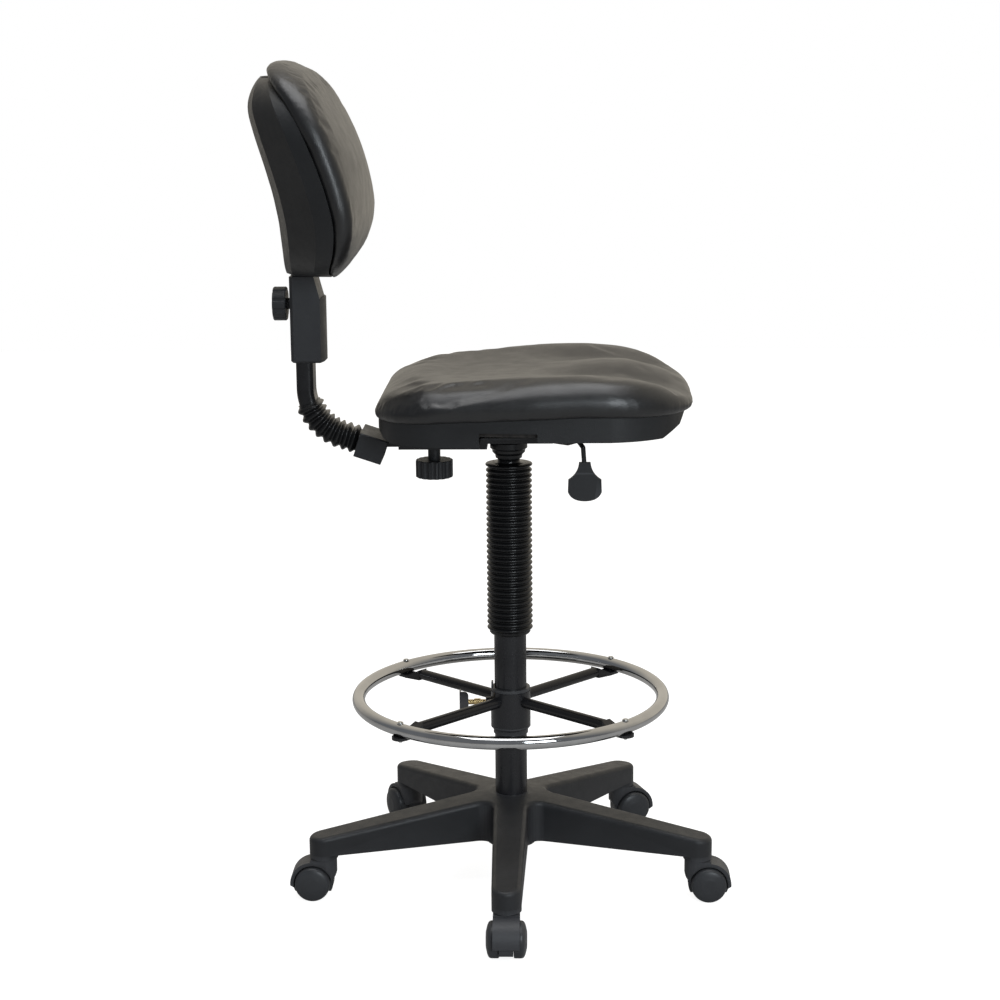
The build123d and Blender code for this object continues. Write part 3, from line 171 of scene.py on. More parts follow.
def moulded_plastic(name, color, rough, grain_scale, grain_depth, edge_highlight_color):
    """Moulded plastic: a fine spark-eroded texture, faint mottling and a painted highlight along its outer
    edges.
    """
    n = Nodes(name)
    mottle = n.remap(n.noise(14, 5), 0.3, 0.7, 0.0, 1.0)
    dark = tuple(c * 0.78 for c in color)
    body = n.mix(mottle, dark, color)
    # Outer edges are mixed towards a lighter colour: a painted highlight.
    n.set("Base Color", n.mix(n.edges(), body, edge_highlight_color))
    n.set("Roughness", n.remap(n.noise(55, 6), 0.3, 0.7, rough - 0.07, rough + 0.07))
    fine = n.bump(n.noise(grain_scale, 3), grain_depth, 0.8)
    n.set("Normal", n.bump(n.noise(9, 2), 0.0006, 0.25, fine))
    n.set("Specular IOR Level", 0.30)
    return n.material


def pebbled_plastic(name, color, rough):
    """Shell plastic with a leather-like pebble and a painted highlight along its outer edges."""
    n = Nodes(name)
    cells = n.remap(n.cells(620), 0.0, 0.35, 0.0, 1.0)
    body = n.mix(n.remap(n.noise(11, 5), 0.3, 0.7, 0.0, 1.0), tuple(c * 0.8 for c in color), color)
    # Outer edges are lightened 2.2 times: a painted highlight.
    n.set("Base Color", n.mix(n.edges(), body, tuple(c * 2.2 for c in color)))
    n.set("Roughness", n.remap(n.noise(70, 5), 0.3, 0.7, rough - 0.06, rough + 0.06))
    n.set("Normal", n.bump(n.noise(7, 2), 0.0008, 0.2, n.bump(cells, 0.00018, 0.5)))
    n.set("Specular IOR Level", 0.28)
    return n.material


def vinyl(name, color):
    """Upholstery vinyl: small irregular grain cells, wide soft wrinkles and a slight sheen."""
    n = Nodes(name)
    warp = n.noise(240, 3)
    grain = n.cells(820)
    combined = n.add("ShaderNodeMath", operation="MULTIPLY")
    n.link(n.remap(grain, 0.0, 0.3, 0.0, 1.0), combined.inputs[0])
    n.link(warp, combined.inputs[1])
    body = n.mix(n.remap(n.noise(8, 5), 0.3, 0.7, 0.0, 1.0), tuple(c * 0.82 for c in color), color)
    n.set("Base Color", body)
    n.set("Roughness", n.remap(n.noise(38, 6), 0.3, 0.7, 0.31, 0.41))
    wide = n.bump(n.noise(26, 4), 0.0010, 0.22, n.bump(combined.outputs[0], 0.00024, 0.45))
    n.set("Normal", wide)
    n.set("Specular IOR Level", 0.5)
    n.set("Coat Weight", 0.10)
    n.set("Coat Roughness", 0.30)
    return n.material


def enamel(name, color, rough):
    """Black powder coat: orange peel, dust-fine specks and a painted highlight along its outer edges."""
    n = Nodes(name)
    body = n.mix(n.remap(n.noise(30, 5), 0.35, 0.7, 0.0, 1.0), color, tuple(c * 1.35 for c in color))
    # Outer edges are lightened 2.6 times: a painted highlight.
    n.set("Base Color", n.mix(n.edges(), body, tuple(c * 2.6 for c in color)))
    n.set("Roughness", n.remap(n.noise(90, 4), 0.3, 0.7, rough - 0.05, rough + 0.06))
    n.set("Normal", n.bump(n.noise(420, 2), 0.00012, 0.5))
    n.set("Specular IOR Level", 0.3)
    n.set("Coat Weight", 0.12)
    n.set("Coat Roughness", 0.22)
    return n.material


def plated(name, color, rough, brushed):
    """Plated steel: brushed or polished, with faint smears."""
    n = Nodes(name)
    smear = n.remap(n.noise(22, 6, (1, 1, 0.25)), 0.3, 0.75, 0.0, 1.0)
    n.set("Base Color", n.mix(smear, color, tuple(c * 0.82 for c in color)))
    n.set("Metallic", 1.0)
    n.set("Roughness", n.remap(n.noise(60, 6), 0.3, 0.7, max(0.02, rough - 0.05), rough + 0.06))
    n.set("Normal", n.bump(n.noise(brushed, 2), 0.00005, 0.35))
    return n.material


def rubber(name, color, rough):
    """Soft black plastic or rubber, darker in its low places as painted shade."""
    n = Nodes(name)
    geometry = n.add("ShaderNodeNewGeometry")
    # Concave places get 1: the mask for painted shade in the folds.
    painted_shade_valley = n.remap(geometry.outputs["Pointiness"], 0.44, 0.5, 1.0, 0.0)
    body = n.mix(n.remap(n.noise(35, 5), 0.3, 0.7, 0.0, 1.0), color, tuple(c * 1.3 for c in color))
    # The low places are darkened to 0.6 of the colour: painted shade.
    n.set("Base Color", n.mix(painted_shade_valley, body, tuple(c * 0.6 for c in color)))
    n.set("Roughness", n.remap(n.noise(80, 5), 0.3, 0.7, rough - 0.06, rough + 0.08))
    n.set("Normal", n.bump(n.noise(500, 2), 0.0001, 0.4))
    n.set("Specular IOR Level", 0.35)
    return n.material


def plywood(name):
    """Black-stained plywood, its long grain still showing."""
    n = Nodes(name)
    grain = n.noise(60, 6, (1, 14, 1))
    lines = n.remap(grain, 0.35, 0.65, 0.0, 1.0)
    n.set("Base Color", n.mix(lines, (0.022, 0.017, 0.014), (0.010, 0.009, 0.008)))
    n.set("Roughness", n.remap(grain, 0.3, 0.7, 0.6, 0.8))
    n.set("Normal", n.bump(grain, 0.0003, 0.4))
    return n.material


FINISHES = {
    # The last colour given to each moulded plastic is its painted edge highlight.
    "moulded_black": moulded_plastic("moulded_black", (0.0240, 0.0248, 0.0270), 0.42, 1500, 0.0002,
                                     (0.045, 0.046, 0.05)),
    "nylon_black": moulded_plastic("nylon_black", (0.0400, 0.0415, 0.0450), 0.36, 1100, 0.0001,
                                   (0.055, 0.056, 0.06)),
    "shell_black": pebbled_plastic("shell_black", (0.0150, 0.0155, 0.0165), 0.42),
    "painted_black": enamel("painted_black", (0.0060, 0.0060, 0.0068), 0.30),
    "zinc_steel": plated("zinc_steel", (0.62, 0.62, 0.60), 0.28, 400),
    "chrome_plate": plated("chrome_plate", (0.56, 0.56, 0.56), 0.045, 90),
    "brass_plate": plated("brass_plate", (0.72, 0.54, 0.26), 0.25, 300),
    "bellows_black": rubber("bellows_black", (0.0060, 0.0060, 0.0065), 0.28),
    "plywood": plywood("plywood"),
    "vinyl_black": vinyl("vinyl_black", (0.0100, 0.0100, 0.0105)),
}


def finish_nodes():
    """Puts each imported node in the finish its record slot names, and darkens the ring clamp's wing."""
    for entry in frame["record"]["subparts"]:
        obj = NODES[entry["node"]]
        obj.data.materials.clear()
        obj.data.materials.append(FINISHES[entry["material_slot"]])
    NODES["clamp_handle"].data.materials[0] = plated("oiled_steel", (0.10, 0.10, 0.105), 0.30, 300)


def soften(nodes, width, angle, segments=2):
    """Rounds the sharp edges of moulded pieces and shades their shallow steps as one surface."""
    for node in nodes:
        obj = NODES[node]
        obj.data.polygons.foreach_set("use_smooth", [True] * len(obj.data.polygons))
        weld = obj.modifiers.new("weld", "WELD")
        weld.merge_threshold = 0.00002
        round_edges(obj, width, angle, segments)


def round_edges(obj, width, angle, segments):
    bevel = obj.modifiers.new("edge", "BEVEL")
    bevel.width = width
    bevel.segments = segments
    bevel.limit_method = "ANGLE"
    bevel.angle_limit = math.radians(angle)
    flat = obj.modifiers.new("flat", "WEIGHTED_NORMAL")
    flat.keep_sharp = True


# ---- mesh helpers -------------------------------------------------------------------------
def new_piece(name, points, faces, material, body, smooth=True):
    mesh = bpy.data.meshes.new(name)
    mesh.from_pydata([tuple(p) for p in points], [], faces)
    mesh.update()
    piece = bpy.data.objects.new(name, mesh)
    bpy.context.scene.collection.objects.link(piece)
    mesh.materials.append(material)
    if smooth:
        mesh.polygons.foreach_set("use_smooth", [True] * len(mesh.polygons))
    if body:
        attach(piece, body)
    return piece


def ring_faces(rings, count, close_ends=True):
    """Quads between closed rings of equal length, with both ends filled."""
    faces = []
    for r in range(rings - 1):
        for i in range(count):
            j = (i + 1) % count
            faces.append((r * count + i, r * count + j, (r + 1) * count + j, (r + 1) * count + i))
    if close_ends:
        faces.append(tuple(range(count))[::-1])
        faces.append(tuple((rings - 1) * count + i for i in range(count)))
    return faces


def smoothstep(low, high, value):
    t = np.clip((value - low) / (high - low), 0, 1)
    return t * t * (3 - 2 * t)


def smooth_line(x, stations, values):
    """Values between rising stations, with the corners between the straight runs rounded off."""
    samples, window = 400, 45
    dense = np.linspace(stations[0], stations[-1], samples)
    line = np.interp(dense, stations, values)
    before = 2 * line[0] - line[window:0:-1]
    after = 2 * line[-1] - line[-2:-window - 2:-1]
    padded = np.concatenate([before, line, after])
    kernel = np.hanning(window)
    line = np.convolve(padded, kernel / kernel.sum(), "same")[window:-window]
    return np.interp(x, dense, line)


def resampled(points, count):
    """A closed 2-D line at even steps along its length."""
    points = np.asarray(points, float)
    closed = np.vstack([points, points[:1]])
    steps = np.linalg.norm(np.diff(closed, axis=0), axis=1)
    along = np.concatenate([[0], np.cumsum(steps)])
    wanted = np.linspace(0, along[-1], count, endpoint=False)
    return np.column_stack([np.interp(wanted, along, closed[:, k]) for k in range(2)])


def inward_normals(line):
    """Unit normals of a closed anticlockwise 2-D line, pointing inwards."""
    tangent = np.roll(line, -1, 0) - np.roll(line, 1, 0)
    normal = np.column_stack([-tangent[:, 1], tangent[:, 0]])
    for _ in range(6):
        normal = (np.roll(normal, 1, 0) + 2 * normal + np.roll(normal, -1, 0)) / 4
    return normal / np.linalg.norm(normal, axis=1)[:, None]


def select_only(obj):
    bpy.ops.object.select_all(action="DESELECT")
    bpy.context.view_layer.objects.active = obj
    obj.select_set(True)


def remesh(obj, voxel):
    select_only(obj)
    modifier = obj.modifiers.new("remesh", "REMESH")
    modifier.mode = "VOXEL"
    modifier.voxel_size = voxel
    modifier.use_smooth_shade = True
    bpy.ops.object.modifier_apply(modifier=modifier.name)


def coords_of(obj):
    points = np.empty(len(obj.data.vertices) * 3)
    obj.data.vertices.foreach_get("co", points)
    return points.reshape(-1, 3)


def move_to(obj, points):
    obj.data.vertices.foreach_set("co", points.ravel())
    obj.data.update()


def inflate(obj, held, pressure, cap):
    """Stuffs a cushion: cloth under pressure, held where held is 1, moved no further than cap."""
    before = coords_of(obj)
    group = obj.vertex_groups.new(name="held")
    for index in np.nonzero(held > 0.01)[0]:
        group.add([int(index)], float(held[index]), "REPLACE")
    cloth = obj.modifiers.new("cloth", "CLOTH")
    settings = cloth.settings
    settings.quality = 6
    settings.mass = 0.25
    settings.tension_stiffness = 22
    settings.compression_stiffness = 22
    settings.shear_stiffness = 8
    settings.bending_stiffness = 5
    settings.use_pressure = True
    settings.uniform_pressure_force = pressure
    settings.vertex_group_mass = "held"
    settings.effector_weights.gravity = 0
    cloth.collision_settings.use_collision = False
    scene = bpy.context.scene
    cloth.point_cache.frame_start = 1
    cloth.point_cache.frame_end = CLOTH_FRAMES
    for step in range(1, CLOTH_FRAMES + 1):
        scene.frame_set(step)
    select_only(obj)
    bpy.ops.object.modifier_apply(modifier=cloth.name)
    scene.frame_set(1)
    moved = coords_of(obj) - before
    length = np.linalg.norm(moved, axis=1)
    scale = np.where(length > cap, cap / np.maximum(length, 1e-9), 1.0)
    move_to(obj, before + moved * scale[:, None])
    obj.vertex_groups.clear()


def relax(obj, steps, factor=0.5):
    select_only(obj)
    modifier = obj.modifiers.new("relax", "SMOOTH")
    modifier.iterations = steps
    modifier.factor = factor
    bpy.ops.object.modifier_apply(modifier=modifier.name)


def subdivide(obj):
    select_only(obj)
    modifier = obj.modifiers.new("fine", "SUBSURF")
    modifier.levels = 1
    modifier.render_levels = 1
    bpy.ops.object.modifier_apply(modifier=modifier.name)
    obj.data.polygons.foreach_set("use_smooth", [True] * len(obj.data.polygons))


# ---- seat cushion -------------------------------------------------------------------------
def seat_outline():
    """The seat's plan: narrower behind, rounded at every corner, anticlockwise."""
    right = [
        (SEAT_REAR_X, SEAT_END_HALF_WIDTH, 0.105), (SEAT_CENTRE_X, SEAT_HALF_WIDTH, 0.12),
        (0.150, SEAT_HALF_WIDTH, 0.05), (SEAT_FRONT_X, SEAT_END_HALF_WIDTH, 0.135),
    ]
    corners = right[::-1] + [(x, -y, radius) for x, y, radius in right]
    line = []
    for index, (x, y, radius) in enumerate(corners):
        here = Vector((x, y))
        back = Vector(corners[index - 1][:2]) - here
        ahead = Vector(corners[(index + 1) % len(corners)][:2]) - here
        half = back.angle(ahead) / 2
        start = here + back.normalized() * radius / math.tan(half)
        end = here + ahead.normalized() * radius / math.tan(half)
        for step in range(17):
            t = step / 16
            shares = (1 - t) ** 2, 2 * math.sin(half) * t * (1 - t), t ** 2
            line.append((start * shares[0] + here * shares[1] + end * shares[2]) / sum(shares))
    return resampled([(p.x, p.y) for p in line], 260)


def seat_seam_z(x):
    share = (x - SEAT_REAR_X) / (SEAT_FRONT_X - SEAT_REAR_X)
    return SEAM_REAR_Z + (SEAM_FRONT_Z - SEAM_REAR_Z) * np.minimum(1, 1.25 * share)


def seat_top_z(x, y):
    """The sitting surface: a soft ridge round a dish, with two thigh grooves towards the front."""
    stations = (-0.195, -0.15, -0.09, -0.02, 0.05, 0.12, 0.18, 0.225, 0.271)
    heights = (0.8010, 0.8060, 0.8110, 0.8165, 0.8210, 0.8230, 0.8205, 0.8140, 0.8010)
    ridge = smooth_line(x, stations, heights)
    dish = 0.010 * (1 - np.clip(np.abs(y) / 0.16, 0, 1) ** 2) * smoothstep(-0.17, -0.04, x)
    dish = dish * (1 - smoothstep(0.04, 0.17, x))
    groove = 0.013 * np.exp(-((np.abs(y) - 0.092) / 0.046) ** 2) * smoothstep(0.01, 0.14, x)
    groove = groove * (1 - 0.5 * smoothstep(0.20, 0.27, x))
    return ridge - dish - groove


def seat_cushion():
    """The padded seat: a side roll from its seam up to the sitting surface, puckered along the seam."""
    outline = seat_outline()
    inward = inward_normals(outline)
    facing_front = np.clip(-inward[:, 0], 0, 1) ** 2
    facing_rear = np.clip(inward[:, 0], 0, 1) ** 2
    roll = 0.040 + 0.028 * facing_front + 0.030 * facing_rear
    rings = []
    for turn in np.linspace(0.0, math.pi / 2, 26):
        rise = math.sin(turn) ** (2 / ROLL_SQUARENESS)
        bulge = SIDE_BULGE * math.sin(math.pi * min(1, rise / 0.75)) ** 0.8
        tuck = 0.002 * max(0, 1 - rise / 0.15) ** 1.6 - 0.0015 * facing_front
        rolled = roll * (1 - math.cos(turn) ** (2 / ROLL_SQUARENESS))
        across = tuck - bulge * (1 - facing_rear) + rolled
        line = outline + inward * across[:, None]
        seam = seat_seam_z(line[:, 0]) - FRONT_LAP * smoothstep(0.08, 0.25, line[:, 0])
        top = seat_top_z(line[:, 0], line[:, 1])
        rings.append(np.column_stack([line, seam + (top - seam) * rise]))
    last = rings[-1][:, :2]
    centre = np.array([SEAT_CENTRE_X, 0.0])
    for step in range(1, 24):
        share = step / 24
        line = last * (1 - share) + centre * share
        rings.append(np.column_stack([line, seat_top_z(line[:, 0], line[:, 1])]))
    floor = outline + inward * 0.03
    rings.insert(0, np.column_stack([floor, seat_seam_z(floor[:, 0]) - 0.007]))
    points = np.vstack(rings)
    cushion = new_piece("seat_cushion_soft", points, ring_faces(len(rings), len(outline)),
                        FINISHES["vinyl_black"], "seat")
    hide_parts("seat_cushion")
    remesh(cushion, SEAT_VOXEL)
    relax(cushion, 4)
    now = coords_of(cushion)
    above = now[:, 2] - seat_seam_z(now[:, 0])
    inflate(cushion, 1 - smoothstep(0.002, 0.022, above), STUFFING_PRESSURE, 0.004)
    pucker(cushion, above_seam=lambda p: p[:, 2] - seat_seam_z(p[:, 0]), around=seat_around, depth=0.0012)
    subdivide(cushion)
    return cushion


def seat_around(points):
    """Distance round the seat's side, as an angle times a mean radius."""
    return np.arctan2(points[:, 1], points[:, 0] - SEAT_CENTRE_X) * 0.24


def pucker(obj, above_seam, around, depth):
    """Gathers along a seam: short folds that fade away from it, deeper where the seam curves."""
    points = coords_of(obj)
    height = above_seam(points)
    along = around(points)
    near = np.exp(-np.clip(height, 0, None) / 0.009) * smoothstep(-0.004, 0.002, height)
    normals = np.empty(len(points) * 3)
    obj.data.vertices.foreach_get("normal", normals)
    normals = normals.reshape(-1, 3)
    wave = np.sin(along / 0.0042 + 2.2 * np.sin(along / 0.031)) * 0.5 + 0.5 * np.sin(along / 0.0093 + 1.3)
    patch = np.array([noise.noise(Vector((a * 14, 3.1, 0))) for a in along])
    strength = 0.35 + 1.2 * np.clip(patch + 0.1, 0, 1)
    move_to(obj, points + normals * (wave * near * strength * depth)[:, None])


# ---- back cushion -------------------------------------------------------------------------
def back_seam_x(z):
    """The rim of the back's shell, which leans away at the top where the cushion wraps over it."""
    heights = (
        0.950, 0.975, 0.990, 1.005, 1.035, 1.060, 1.098,
        1.136, 1.174, 1.210, 1.236, 1.250, 1.262, 1.275,
    )
    rim = (
        -0.262, -0.2555, -0.2490, -0.2445, -0.2415, -0.2450, -0.2550,
        -0.2685, -0.2850, -0.3045, -0.3235, -0.3360, -0.3460, -0.3500,
    )
    return smooth_line(z, heights, rim)


def back_crease_x(z):
    """Where the cushion's side roll meets its front panel."""
    heights = (
        0.950, 0.960, 0.972, 0.988, 1.021, 1.049, 1.075,
        1.109, 1.139, 1.173, 1.207, 1.241, 1.260, 1.275,
    )
    crease = (
        -0.247, -0.2445, -0.2385, -0.2270, -0.2160, -0.2130, -0.2165,
        -0.2250, -0.2350, -0.2475, -0.2630, -0.2800, -0.2920, -0.306,
    )
    return smooth_line(z, heights, crease)


def back_outline(inset, count=240):
    """The back's front view, a rounded square, as (y, z)."""
    middle = (BACK_TOP_Z + BACK_BOTTOM_Z) / 2
    half_z = (BACK_TOP_Z - BACK_BOTTOM_Z) / 2 - inset
    half_y = BACK_HALF_WIDTH - inset
    turn = np.linspace(0, 2 * math.pi, 1200, endpoint=False)
    power = 2 / BACK_SQUARENESS
    y = half_y * np.sign(np.cos(turn)) * np.abs(np.cos(turn)) ** power
    z = middle + half_z * np.sign(np.sin(turn)) * np.abs(np.sin(turn)) ** power
    return resampled(np.column_stack([y, z]), count)


def back_cushion():
    """The padded back. Its profile pairs an inset with a share of the way from the rim to the crease."""
    outline = back_outline(0.001)
    inward = inward_normals(outline)
    profile = (
        (0.020, -0.06), (0.010, -0.02), (0.0045, 0.04), (0.0010, 0.14), (-0.0016, 0.28),
        (-0.0024, 0.44), (-0.0018, 0.60), (0.0004, 0.75), (0.0034, 0.87), (0.0060, 0.945),
        (0.0074, 0.990), (0.0084, 1.022), (0.0100, 1.034), (0.0125, 1.030), (0.0180, 1.025),
    )
    rings = []
    for inset, share in profile:
        line = outline + inward * inset
        rear, crease = back_seam_x(line[:, 1]), back_crease_x(line[:, 1])
        rings.append(np.column_stack([rear + (crease - rear) * share, line]))
    last = rings[-1][:, 1:]
    centre = np.array([0.0, 1.10])
    for step in range(1, 26):
        share = step / 26
        line = last * (1 - share) + centre * share
        swell = (1 - (1 - share) ** 2.2) * (0.003 + 0.007 * np.exp(-((line[:, 1] - 1.13) / 0.07) ** 2))
        rings.append(np.column_stack([back_crease_x(line[:, 1]) + 0.001 + swell, line]))
    points = np.vstack(rings)
    cushion = new_piece("back_cushion_soft", points, ring_faces(len(rings), len(outline)),
                        FINISHES["vinyl_black"], "back")
    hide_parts("back_cushion")
    remesh(cushion, BACK_VOXEL)
    relax(cushion, 2)
    now = coords_of(cushion)
    forward = now[:, 0] - back_seam_x(now[:, 2])
    inflate(cushion, 1 - smoothstep(0.002, 0.014, forward), STUFFING_PRESSURE, 0.003)
    pucker(cushion, above_seam=lambda p: p[:, 0] - back_seam_x(p[:, 2]), around=back_around, depth=0.0012)
    subdivide(cushion)
    return cushion


def back_around(points):
    """Distance round the back's edge, as an angle times a mean radius."""
    return np.arctan2(points[:, 2] - 1.11, points[:, 1]) * 0.17


# ---- back shell ---------------------------------------------------------------------------
def shell_rear_x(z):
    """The flat rear of the back's shell, seen from the side."""
    heights = (
        SHELL_BOTTOM_Z, 0.975, 1.000, 1.040, 1.080, 1.120,
        1.160, 1.195, 1.212, 1.228, 1.240, SHELL_TOP_Z,
    )
    rear = (
        -0.3275, -0.3280, -0.3285, -0.3315, -0.3390, -0.3500,
        -0.3625, -0.3725, -0.3740, -0.3700, -0.3650, -0.3590,
    )
    return smooth_line(z, heights, rear)


def back_shell():
    """The faceted cover: a light band beside the seam, a wide slanted facet and a narrow flat rear."""
    levels, corners, last_share = 49, 8, 0.9915
    middle = (SHELL_BOTTOM_Z + SHELL_TOP_Z) / 2
    half_height = (SHELL_TOP_Z - SHELL_BOTTOM_Z) / 2 - 0.0012
    points = []
    for level in range(levels):
        share = -math.cos(math.pi * level / (levels - 1))
        z = middle + share * half_height
        wide = BACK_HALF_WIDTH * (1 - min(last_share, abs(share)) ** BACK_SQUARENESS) ** (1 / BACK_SQUARENESS)
        seam, rear = float(back_seam_x(z)), float(shell_rear_x(z))
        side = [(seam + 0.002, wide)]
        side += [(seam + (rear - seam) * back, wide * across) for back, across in SHELL_FACETS]
        points += [(x, y, z) for x, y in side] + [(x, -y, z) for x, y in reversed(side)]
    walls = ring_faces(levels, corners, close_ends=False)
    walls = [face for face in walls if not {0, corners - 1} <= {index % corners for index in face}]
    floor = tuple(range(corners))[::-1]
    roof = tuple((levels - 1) * corners + index for index in range(corners))
    skin = new_piece("back_shell_cover", points, walls + [floor, roof], FINISHES["shell_black"], "back")
    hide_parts("back_shell")
    wall = skin.modifiers.new("wall", "SOLIDIFY")
    wall.thickness = SHELL_WALL
    wall.offset = -1
    apply_modifier(skin, wall)
    cut_slot(skin, (-0.352, -0.262), 0.0335, (0.90, 0.985))
    round_edges(skin, 0.0022, 13, 3)
    return skin


def cut_slot(skin, across, half_width, heights):
    """Opens the cover's bottom for the sliding socket."""
    corners = [(x, y, z) for x in across for y in (-half_width, half_width) for z in heights]
    faces = [(0, 1, 3, 2), (4, 6, 7, 5), (0, 4, 5, 1), (2, 3, 7, 6), (0, 2, 6, 4), (1, 5, 7, 3)]
    cutter = new_piece("slot_cutter", corners, faces, FINISHES["shell_black"], None, smooth=False)
    cut = skin.modifiers.new("slot", "BOOLEAN")
    cut.operation = "DIFFERENCE"
    cut.solver = "EXACT"
    cut.object = cutter
    apply_modifier(skin, cut)
    bpy.data.objects.remove(cutter)


def apply_modifier(obj, modifier):
    select_only(obj)
    bpy.ops.object.modifier_apply(modifier=modifier.name)


# ---- column bellows -----------------------------------------------------------------------
def column_bellows():
    """Round-crested folds between the column's tube and the seat, with a disc and neck on top."""
    pitch = (BELLOWS_TOP_Z - BELLOWS_BOTTOM_Z) / BELLOWS_FOLDS
    profile = [(0.0258, 0.3985), (0.0300, 0.3985), (0.0318, 0.4008)]
    for fold in range(BELLOWS_FOLDS):
        for step in range(10):
            t = step / 10
            wave = 0.5 - 0.5 * math.cos(2 * math.pi * t)
            radius = BELLOWS_ROOT_R + BELLOWS_FOLD_DEPTH * wave ** 0.62
            profile.append((radius, BELLOWS_BOTTOM_Z + (fold + t) * pitch))
    profile += [
        (BELLOWS_ROOT_R, BELLOWS_TOP_Z), (0.0330, 0.6622), (0.0356, 0.6634), (0.0360, 0.6642),
        (0.0360, 0.6652), (0.0354, 0.6660), (0.0250, 0.6662), (0.0180, 0.6668), (0.0172, 0.6690),
        (0.0170, 0.6744), (0.0146, 0.6746),
    ]
    count = 96
    points = []
    for radius, z in profile:
        for index in range(count):
            turn = 2 * math.pi * index / count
            points.append((radius * math.cos(turn), radius * math.sin(turn), z))
    bellows = new_piece("column_bellows_folds", points, ring_faces(len(profile), count, close_ends=False),
                        FINISHES["bellows_black"], None)
    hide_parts("column_bellows")
    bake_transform(bellows)
    return bellows


# ---- J-bar boot ---------------------------------------------------------------------------
def boot_place(distance):
    """A point on the bar's path, its direction, and the direction across its depth."""
    bend = JBAR_BEND_R * (math.pi / 2 - JBAR_NOSE_DOWN)
    angle = min(distance, bend) / JBAR_BEND_R
    over, under = JBAR_BEND_R * (1 - math.cos(angle)), JBAR_BEND_R * math.sin(angle)
    point = Vector((JBAR_X + over, 0, JBAR_BEND_TOP_Z - under))
    way = Vector((math.sin(angle), 0, -math.cos(angle)))
    across = Vector((math.cos(angle), 0, math.sin(angle)))
    return point + way * max(0, distance - bend), across


def jbar_boot():
    """The folded boot on the bar's bend."""
    count = 64
    end = BOOT_START + BOOT_FOLDS * BOOT_PITCH
    stations = [(BOOT_START, 0.0006), (BOOT_START + 0.0004, 0.0035)]
    for fold in range(BOOT_FOLDS):
        for step in range(12):
            t = step / 12
            wave = (0.5 - 0.5 * math.cos(2 * math.pi * t)) ** 0.8
            stations.append((BOOT_START + 0.001 + (fold + t) * BOOT_PITCH, 0.0022 + 0.0050 * wave))
    stations.append((end + 0.001, 0.0022))
    stations.append((end + 0.0022, 0.0022))
    points = []
    for distance, grow in stations:
        centre, across = boot_place(distance)
        for index in range(count):
            turn = 2 * math.pi * index / count
            c, s = math.cos(turn), math.sin(turn)
            depth = (0.013 + grow) * math.copysign(abs(c) ** 0.62, c)
            width = (0.025 + grow) * math.copysign(abs(s) ** 0.62, s)
            points.append(centre + across * depth + Vector((0, width, 0)))
    boot = new_piece("jbar_boot_folds", points, ring_faces(len(stations), count, close_ends=False),
                     FINISHES["bellows_black"], "back_carrier")
    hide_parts("jbar_boot")
    return boot


# ---- floor, light and camera --------------------------------------------------------------
def studio():
    """A pale floor, a bright window in front, a soft light overhead and the room round them."""
    bpy.context.scene.view_settings.view_transform = "Standard"
    floor = new_piece("studio_floor", [(-6, -6, 0), (6, -6, 0), (6, 6, 0), (-6, 6, 0)], [(0, 1, 2, 3)],
                      floor_material(), None)
    world = bpy.data.worlds.new("studio")
    world.use_nodes = True
    room_light(world.node_tree)
    bpy.context.scene.world = world
    area_light("window", (1.3, -3.2, 1.70), (0.05, 0, 0.75), 1.3, 60, (0.88, 0.95, 1))
    area_light("top", (0.0, -0.4, 3.6), (0, 0, 0.7), 2.4, 70, (0.97, 0.98, 1))


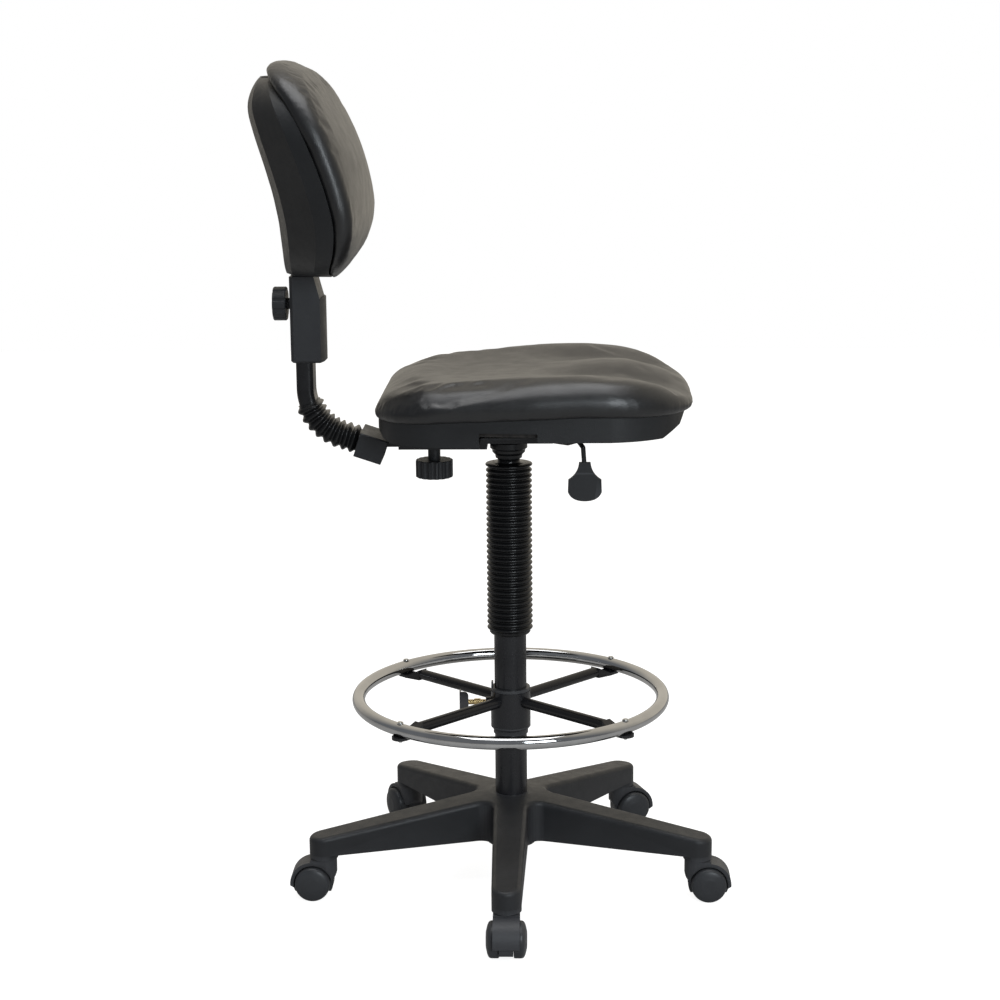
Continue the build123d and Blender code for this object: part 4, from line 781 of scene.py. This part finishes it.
def room_light(tree):
    """A white backdrop in a room that is warm and bright behind and overhead, dim elsewhere."""
    def add(kind, **inputs):
        node = tree.nodes.new(kind)
        for key, value in inputs.items():
            node.inputs[key.replace("_", " ")].default_value = value
        return node

    towards = add("ShaderNodeVectorMath")
    towards.operation = "DOT_PRODUCT"
    towards.inputs[1].default_value = (0.30, 0.80, 0.42)
    tree.links.new(add("ShaderNodeTexCoord").outputs["Generated"], towards.inputs[0])
    share = add("ShaderNodeMapRange", From_Min=0.0, From_Max=0.75, To_Min=0.0, To_Max=1.0)
    tree.links.new(towards.outputs["Value"], share.inputs["Value"])
    color = tree.nodes.new("ShaderNodeMix")
    color.data_type = "RGBA"
    color.inputs[6].default_value = (0.190, 0.200, 0.215, 1)
    color.inputs[7].default_value = (0.70, 0.65, 0.56, 1)
    tree.links.new(share.outputs["Result"], color.inputs["Factor"])
    room = tree.nodes["Background"]
    tree.links.new(color.outputs[2], room.inputs["Color"])
    backdrop = add("ShaderNodeBackground", Color=(1, 1, 1, 1), Strength=1.0)
    both = tree.nodes.new("ShaderNodeMixShader")
    tree.links.new(tree.nodes.new("ShaderNodeLightPath").outputs["Is Camera Ray"], both.inputs["Fac"])
    tree.links.new(room.outputs[0], both.inputs[1])
    tree.links.new(backdrop.outputs[0], both.inputs[2])
    tree.links.new(both.outputs[0], tree.nodes["World Output"].inputs["Surface"])


def floor_material():
    """Almost white where the camera sees it, darker as a light source, so the chair's sides stay dark."""
    n = Nodes("studio_floor")
    pale = n.remap(n.noise(2, 3), 0.3, 0.7, 0.0, 1.0)
    n.set("Base Color", n.mix(pale, (0.42, 0.42, 0.42), (0.40, 0.40, 0.405)))
    n.set("Roughness", 0.8)
    n.set("Specular IOR Level", 0.1)
    n.set("Emission Color", (1.0, 1.0, 1.0, 1.0))
    seen = n.add("ShaderNodeLightPath").outputs["Is Camera Ray"]
    n.set("Emission Strength", n.remap(seen, 0.0, 1.0, 0.05, 0.90))
    return n.material


def area_light(name, place, target, size, power, color):
    data = bpy.data.lights.new(name, "AREA")
    data.size = size
    data.energy = power
    data.color = color
    lamp = bpy.data.objects.new(name, data)
    bpy.context.scene.collection.objects.link(lamp)
    lamp.location = place
    lamp.rotation_euler = (Vector(target) - Vector(place)).to_track_quat("-Z", "Y").to_euler()


def camera():
    """The side view of the chair, from about the back's height and looking slightly down."""
    data = bpy.data.cameras.new("view")
    data.lens = 77.77
    data.sensor_width = 36
    data.clip_end = 40
    eye = bpy.data.objects.new("view", data)
    bpy.context.scene.collection.objects.link(eye)
    down, turn, roll = math.radians(11.919), math.radians(-1.815), math.radians(-0.499)
    ahead = Vector((math.sin(turn) * math.cos(down), math.cos(turn) * math.cos(down), -math.sin(down)))
    right = Vector((math.cos(turn), -math.sin(turn), 0))
    up = right.cross(ahead)
    side = right * math.cos(roll) + up * math.sin(roll)
    top = up * math.cos(roll) - right * math.sin(roll)
    matrix = Matrix((side, top, -ahead)).transposed().to_4x4()
    matrix.translation = Vector((0.0887, -3.2411, 1.2925))
    eye.matrix_world = matrix
    bpy.context.scene.camera = eye


finish_nodes()
soften(["seat_shell", "back_sleeve", "jbar_cover"], 0.0012, 30)
soften(["lever_paddle"], 0.0014, 30, 3)
soften(["depth_knob", "height_knob"], 0.0006, 30)
seat_cushion()
back_cushion()
back_shell()
column_bellows()
jbar_boot()
studio()
camera()
